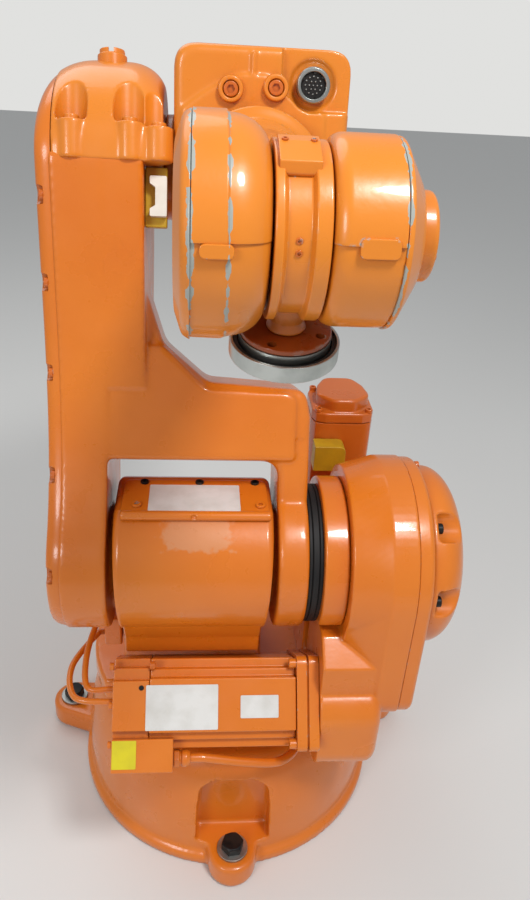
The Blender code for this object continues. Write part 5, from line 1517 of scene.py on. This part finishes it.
@dataclass
class Forearm:
    """The tube that rolls, ending in the wrist's two drums, with cheeks and end boss."""

    paints: Paints
    wrist: Point = (-0.380, 0.0)
    start: float = -0.0753
    collar_radius: float = 0.0550
    collar_length: float = 0.028
    left_radius: float = 0.0500
    right_radius: float = 0.0430
    cheek_left: float = -0.0478
    slot_left: float = -0.0137
    slot_right: float = 0.0122
    cheek_right: float = 0.0425
    drum_left: float = -0.0555
    cone_right: float = 0.0546
    boss_right: float = 0.0630

    def build(self) -> None:
        """Build and dress the forearm."""
        self.casting()
        self.cheeks()

    def left_profile(self, proud: float) -> list[Point]:
        """Return the left drum's profile, from its cheek to the slot."""
        radius = self.left_radius + proud
        line = [(0.0, self.cheek_left), (radius, self.cheek_left), (radius, -0.0330)]
        for index in range(13):
            angle = math.pi / 2 * index / 12
            line.append((radius - 0.0012 - 0.0145 * (1 - math.cos(angle)),
                         -0.0322 + (self.slot_left + 0.0322) * math.sin(angle)))
        return line + [(0.0, self.slot_left)]

    def right_profile(self, proud: float) -> list[Point]:
        """Return the right drum's profile, from the slot to its cheek."""
        radius = self.right_radius + proud
        line = [(0.0, self.slot_right)]
        for index in range(9):
            angle = math.pi / 2 * index / 8
            line.append((radius - 0.0055 * (1 - math.sin(angle)),
                         self.slot_right + 0.0070 * (1 - math.cos(angle))))
        return line + [(radius, self.cheek_right), (0.0, self.cheek_right)]

    def casting(self) -> None:
        """Cast the tube and both drums; the upper half stands proud along the parting."""
        end = self.start - self.collar_length
        reach = self.wrist[0]
        tube = rounded([(0.0, self.start), (self.collar_radius, self.start), (self.collar_radius, end),
                        (0.046, end - 0.006), (0.035, reach + 0.062), (0.035, reach + 0.012),
                        (0.0, reach + 0.012)], [0.0, 0.001, 0.003, 0.004, 0.020, 0.0, 0.0], False)
        piece = Solid.turned(tube, Axis.Y)
        left, right = self.left_profile(0.0), self.right_profile(0.0)
        left[:2] = [(0.0, self.cheek_left - 0.0022), (self.left_radius - 0.0004, self.cheek_left - 0.0022)]
        right[-2:] = [(self.right_radius, self.cheek_right + 0.0010), (0.0, self.cheek_right + 0.0010)]
        piece.fuse(Solid.turned(left, Axis.X, self.wrist, 128), Solid.turned(right, Axis.X, self.wrist, 128))
        piece.cast(0.0013, 2, 1.0)
        slot = Solid.block((self.slot_left, reach - 0.07, -0.07),
                           (self.slot_right, reach + 0.046, 0.07), 0.002)
        piece.cut(slot)
        piece.cast(0.0012, 1, 0.5)
        piece.fit("forearm_tube_and_drums", AXIS_3, self.paints.left_drum, "forearm_casting",
                  ["forearm_casting"])
        below = ((-0.1, reach - 0.1, -0.1), (0.1, reach + 0.1, 0.0008))
        lugs = ((-0.0445, -0.0300, self.left_radius, -0.0052, 0.0010),
                (0.0225, 0.0400, self.right_radius, -0.0042, 0.0044))
        for name, line, lug in (("wrist_left_upper_shell", self.left_profile(0.0011), lugs[0]),
                                ("wrist_right_upper_shell", self.right_profile(0.0011), lugs[1])):
            low, high, radius, foot, head = lug
            shell = Solid.turned(line, Axis.X, self.wrist, 128).cut(Solid.block(*below))
            shell.bevel(0.0004, 2)
            tab = rounded([(low, foot), (high, foot), (high, head), (low, head)], 0.003)
            front = reach - radius
            shell.fuse(Solid.prism(tab, Axis.Y, front - 0.0021, front + 0.01).bevel(0.0007, 2))
            paint = self.paints.left_drum if low < 0 else self.paints.right_drum
            shell.fit(name, AXIS_3, paint, "forearm_casting")

    def cheeks(self) -> None:
        """Make the end cover of each drum and the small boss on the right."""
        near = self.cheek_left - GAP
        radius = self.left_radius
        line = [(0.0, near), (radius + 0.0009, near), (radius - 0.0012, -0.0520),
                (radius - 0.0120, self.drum_left), (0.0, self.drum_left)]
        line = rounded(line, [0.0, 0.0005, 0.009, 0.005, 0.0], False, 8)
        Solid.turned(line, Axis.X, self.wrist).fit("left_cheek_cover", AXIS_3, self.paints.left_drum,
                                                   "left_cheek", ["left_cheek"])
        near = self.cheek_right + GAP
        radius = self.right_radius
        line = rounded([(0.0, near), (radius + 0.0009, near), (radius + 0.0004, near + 0.0024),
                        (0.0270, self.cone_right), (0.0, self.cone_right)],
                       [0.0, 0.0008, 0.0016, 0.002, 0.0], False)
        Solid.turned(line, Axis.X, self.wrist).fit("right_cheek_cone", AXIS_3, self.paints.right_drum,
                                                   "right_cheek", ["right_cheek"])
        near = self.cone_right + GAP
        line = rounded([(0.0, near), (0.021, near), (0.021, self.boss_right), (0.0, self.boss_right)],
                       [0.0, 0.0008, 0.0025, 0.0], False)
        Solid.turned(line, Axis.X, self.wrist, 64).fit("wrist_end_boss_turned", AXIS_3, self.paints.pale,
                                                       "wrist_end_boss", ["wrist_end_boss"])
        spots = [facing((self.boss_right - 0.0005, self.wrist[0] + 0.014 * math.cos(a), 0.014 * math.sin(a)),
                        Axis.X) for a in (math.tau * k / 4 + 0.5 for k in range(4))]
        cap_screw(0.0024, 0.0018).repeated(spots).fit("wrist_end_screws", AXIS_3, self.paints.deep,
                                                      "wrist_end_boss")


# --------------------------------------------------------------------------- wrist


@dataclass
class Wrist:
    """The tilting unit between the drums and the turning tool flange."""

    paints: Paints
    radius: float = 0.0405
    core: float = 0.0372
    left: float = -0.0130
    right: float = 0.0115
    channel: Point = (-0.0082, 0.0038)
    flange_low: float = -0.0665
    flange_high: float = -0.0572
    hub_top: float = -0.0510
    hub_radius: float = 0.0235
    ring_radius: float = 0.0285

    def build(self) -> None:
        """Build and dress the wrist."""
        self.tilt_unit()
        self.flange()

    def tilt_unit(self) -> None:
        """Make the disc with its two rails, its channel, top block and neck."""
        near, far = self.channel
        line = [(0.0, self.left), (self.radius, self.left), (self.radius, near - 0.0008),
                (self.core, near + 0.0008), (self.core, far - 0.0008), (self.radius, far + 0.0008),
                (self.radius, self.right), (0.0, self.right)]
        piece = Solid.turned(rounded(line, 0.0011, False, 4), Axis.X)
        side = rounded([(0.004, 0.030), (0.004, 0.0428), (-0.0040, 0.0430), (-0.0176, 0.0394),
                        (-0.0188, 0.0335), (-0.010, 0.028)], [0.0, 0.0015, 0.002, 0.0012, 0.002, 0.0])
        block = Solid.prism(side, Axis.X, self.left + 0.0016, 0.0068).bevel(0.0006, 2)
        neck = rounded([(0.0, self.hub_top + GAP), (0.0105, self.hub_top + GAP), (0.0085, -0.046),
                        (0.0085, -0.030), (0.0, -0.030)], [0.0, 0.001, 0.002, 0.0, 0.0], False)
        piece.fuse(block, Solid.turned(neck, Axis.Z, sides=64))
        piece.fit("wrist_tilt_unit", AXIS_5, self.paints.pale, "wrist_tilt", ["wrist_tilt"])
        middle = (near + far) / 2
        spots = [facing((middle, -self.core * math.cos(a) + 0.0002, self.core * math.sin(a)), Axis.Y, -1.0)
                 for a in (math.radians(d) for d in (19, 11))]
        spots += [facing((x, -0.0035, 0.0428), Axis.Z) for x in (-0.0085, 0.0040)]
        cap_screw(0.0015, 0.0010).repeated(spots).fit("wrist_tilt_screws", AXIS_5, self.paints.deep,
                                                      "wrist_tilt")

    def flange(self) -> None:
        """Turn the painted hub with its holes and the bare steel ring round it."""
        low, high, top, hub = self.flange_low, self.flange_high, self.hub_top, self.hub_radius
        line = rounded([(0.0, top), (hub, top), (hub, top - 0.0024), (hub - 0.0009, top - 0.0026),
                        (hub - 0.0009, low), (0.010, low), (0.010, low + 0.005), (0.0, low + 0.005)],
                       [0.0, 0.0008, 0.0003, 0.0, 0.0, 0.0004, 0.0, 0.0], False, 3)
        disc = Solid.turned(line, Axis.Z)
        for index in range(4):
            angle = math.radians(90 * index - 26)
            centre = (0.0188 * math.cos(angle), 0.0188 * math.sin(angle))
            disc.cut(Solid.turned([(0.0025, low - 0.01), (0.0025, top + 0.01)], Axis.Z, centre, 24))
        # the hub's darker paint holds its dirt and also painted shade
        disc.fit("flange_hub_painted", AXIS_5, self.paints.soiled_and_shaded, "flange_disc", ["flange_disc"])
        inner, wall = hub - 0.0008, self.ring_radius - 0.0016
        ring = rounded([(inner, low), (self.ring_radius, low), (self.ring_radius, high), (wall, high),
                        (wall, high - 0.0040), (hub + 0.0002, high - 0.0040), (hub + 0.0002, top - 0.0030),
                        (inner, top - 0.0030)], [0.0, 0.0008, 0.0005, 0.0003, 0.0, 0.0, 0.0, 0.0], False, 3)
        Solid.turned(ring + [(inner, low)], Axis.Z).fit("flange_steel_ring", AXIS_5, self.paints.steel,
                                                        "flange_ring", ["flange_ring"])
        line = [(hub + 0.0010, high - 0.0039), (wall - 0.0002, high - 0.0039), (wall - 0.0002, high - 0.0012),
                (hub + 0.0010, high - 0.0012)]
        Solid.turned(line + line[:1], Axis.Z).fit("flange_groove_seal", AXIS_5, self.paints.rubber,
                                                  "flange_ring")


# --------------------------------------------------------------------------- studio


@dataclass
class Studio:
    """A pale floor, soft lamps and the camera at the photograph's angle."""

    camera_place: Triple = (-0.0441, -0.6848, 0.8231)
    yaw: float = 0.10140
    pitch: float = 0.52098
    roll: float = 0.06423
    lens: float = 30.95
    floor_colour: str = "#E4E3E0"
    wall_colour: str = "#E6E6E4"
    wall_strength: float = 0.95
    sky_tint: tuple[float, float, float, float] = (0.94, 0.97, 1.0, 1.0)
    sky_strength: float = 0.40
    aim: Triple = (0.0, -0.10, 0.40)

    def build(self) -> None:
        """Set the stage."""
        self.camera()
        self.floor()
        self.sky()
        for name, place, size, power in (
                ("ceiling_lamp", (0.45, -0.85, 1.85), 0.32, 15.0),
                ("front_lamp", (-1.10, -1.50, 1.35), 0.60, 9.0),
                ("back_lamp", (-0.60, 0.90, 2.00), 1.40, 8.0)):
            self.lamp(name, place, size, power)
        bpy.context.scene.view_settings.view_transform = "Standard"

    def camera(self) -> None:
        """Place the camera."""
        yaw, pitch, roll = self.yaw, self.pitch, self.roll
        ahead = Vector((math.sin(yaw) * math.cos(pitch), math.cos(yaw) * math.cos(pitch), -math.sin(pitch)))
        level = Vector((math.cos(yaw), -math.sin(yaw), 0.0))
        up = level.cross(ahead)
        right = level * math.cos(roll) + up * math.sin(roll)
        top = up * math.cos(roll) - level * math.sin(roll)
        data = bpy.data.cameras.new("camera")
        data.lens = self.lens
        data.sensor_width = 36.0
        data.clip_start = 0.01
        item = bpy.data.objects.new("camera", data)
        columns = (right, top, -ahead, Vector(self.camera_place))
        item.matrix_world = Matrix([[column[row] for column in columns] for row in range(3)]
                                   + [[0.0, 0.0, 0.0, 1.0]])
        bpy.context.scene.collection.objects.link(item)
        bpy.context.scene.camera = item

    def floor(self) -> None:
        """Lay the floor."""
        tool = bmesh.new()
        bmesh.ops.create_grid(tool, x_segments=1, y_segments=1, size=6.0)
        mesh = bpy.data.meshes.new("floor")
        tool.to_mesh(mesh)
        tool.free()
        item = bpy.data.objects.new("floor", mesh)
        bpy.context.scene.collection.objects.link(item)
        material, shader = new_material("floor_paper", "none", Roughness=0.8)
        shader.inputs["Base Color"].default_value = linear(self.floor_colour)
        mesh.materials.append(material)

    def sky(self) -> None:
        """Light the scene from all round, and show a pale backdrop to the camera."""
        world = bpy.data.worlds.new("studio")
        bpy.context.scene.world = world
        world.use_nodes = True
        tree = world.node_tree
        tree.nodes.clear()
        path = add_node(tree, "ShaderNodeLightPath")
        seen = add_node(tree, "ShaderNodeMath", {"operation": "MAXIMUM"},
                        {0: path.outputs["Is Camera Ray"], 1: path.outputs["Is Transmission Ray"]})
        glow = add_node(tree, "ShaderNodeBackground",
                        {"Color": self.sky_tint, "Strength": self.sky_strength})
        wall = add_node(tree, "ShaderNodeBackground",
                        {"Color": linear(self.wall_colour), "Strength": self.wall_strength})
        mix = add_node(tree, "ShaderNodeMixShader", links={0: seen.outputs[0], 1: glow.outputs[0],
                                                          2: wall.outputs[0]})
        add_node(tree, "ShaderNodeOutputWorld", links={0: mix.outputs[0]})

    def lamp(self, name: str, place: Triple, size: float, power: float) -> None:
        """Hang a round soft lamp that looks at the part."""
        data = bpy.data.lights.new(name, "AREA")
        data.shape = "DISK"
        data.size = size
        data.energy = power
        item = bpy.data.objects.new(name, data)
        item.location = place
        sight = Vector(self.aim) - Vector(place)
        item.rotation_euler = sight.to_track_quat("-Z", "Y").to_euler()
        bpy.context.scene.collection.objects.link(item)


def main() -> None:
    """Build every sub-assembly in order, from the floor to the tool flange."""
    logging.basicConfig(level=logging.INFO, format="%(name)s: %(message)s")
    Studio().build()
    paints = Paints()
    for assembly in (Base, Turret, Gearbox, FrontMotor, UprightMotor, LowerArm, UpperArm, Forearm, Wrist):
        LOG.info("building %s", assembly.__name__)
        assembly(paints).build()
    bpy.context.view_layer.update()


if __name__ == "__main__":
    main()
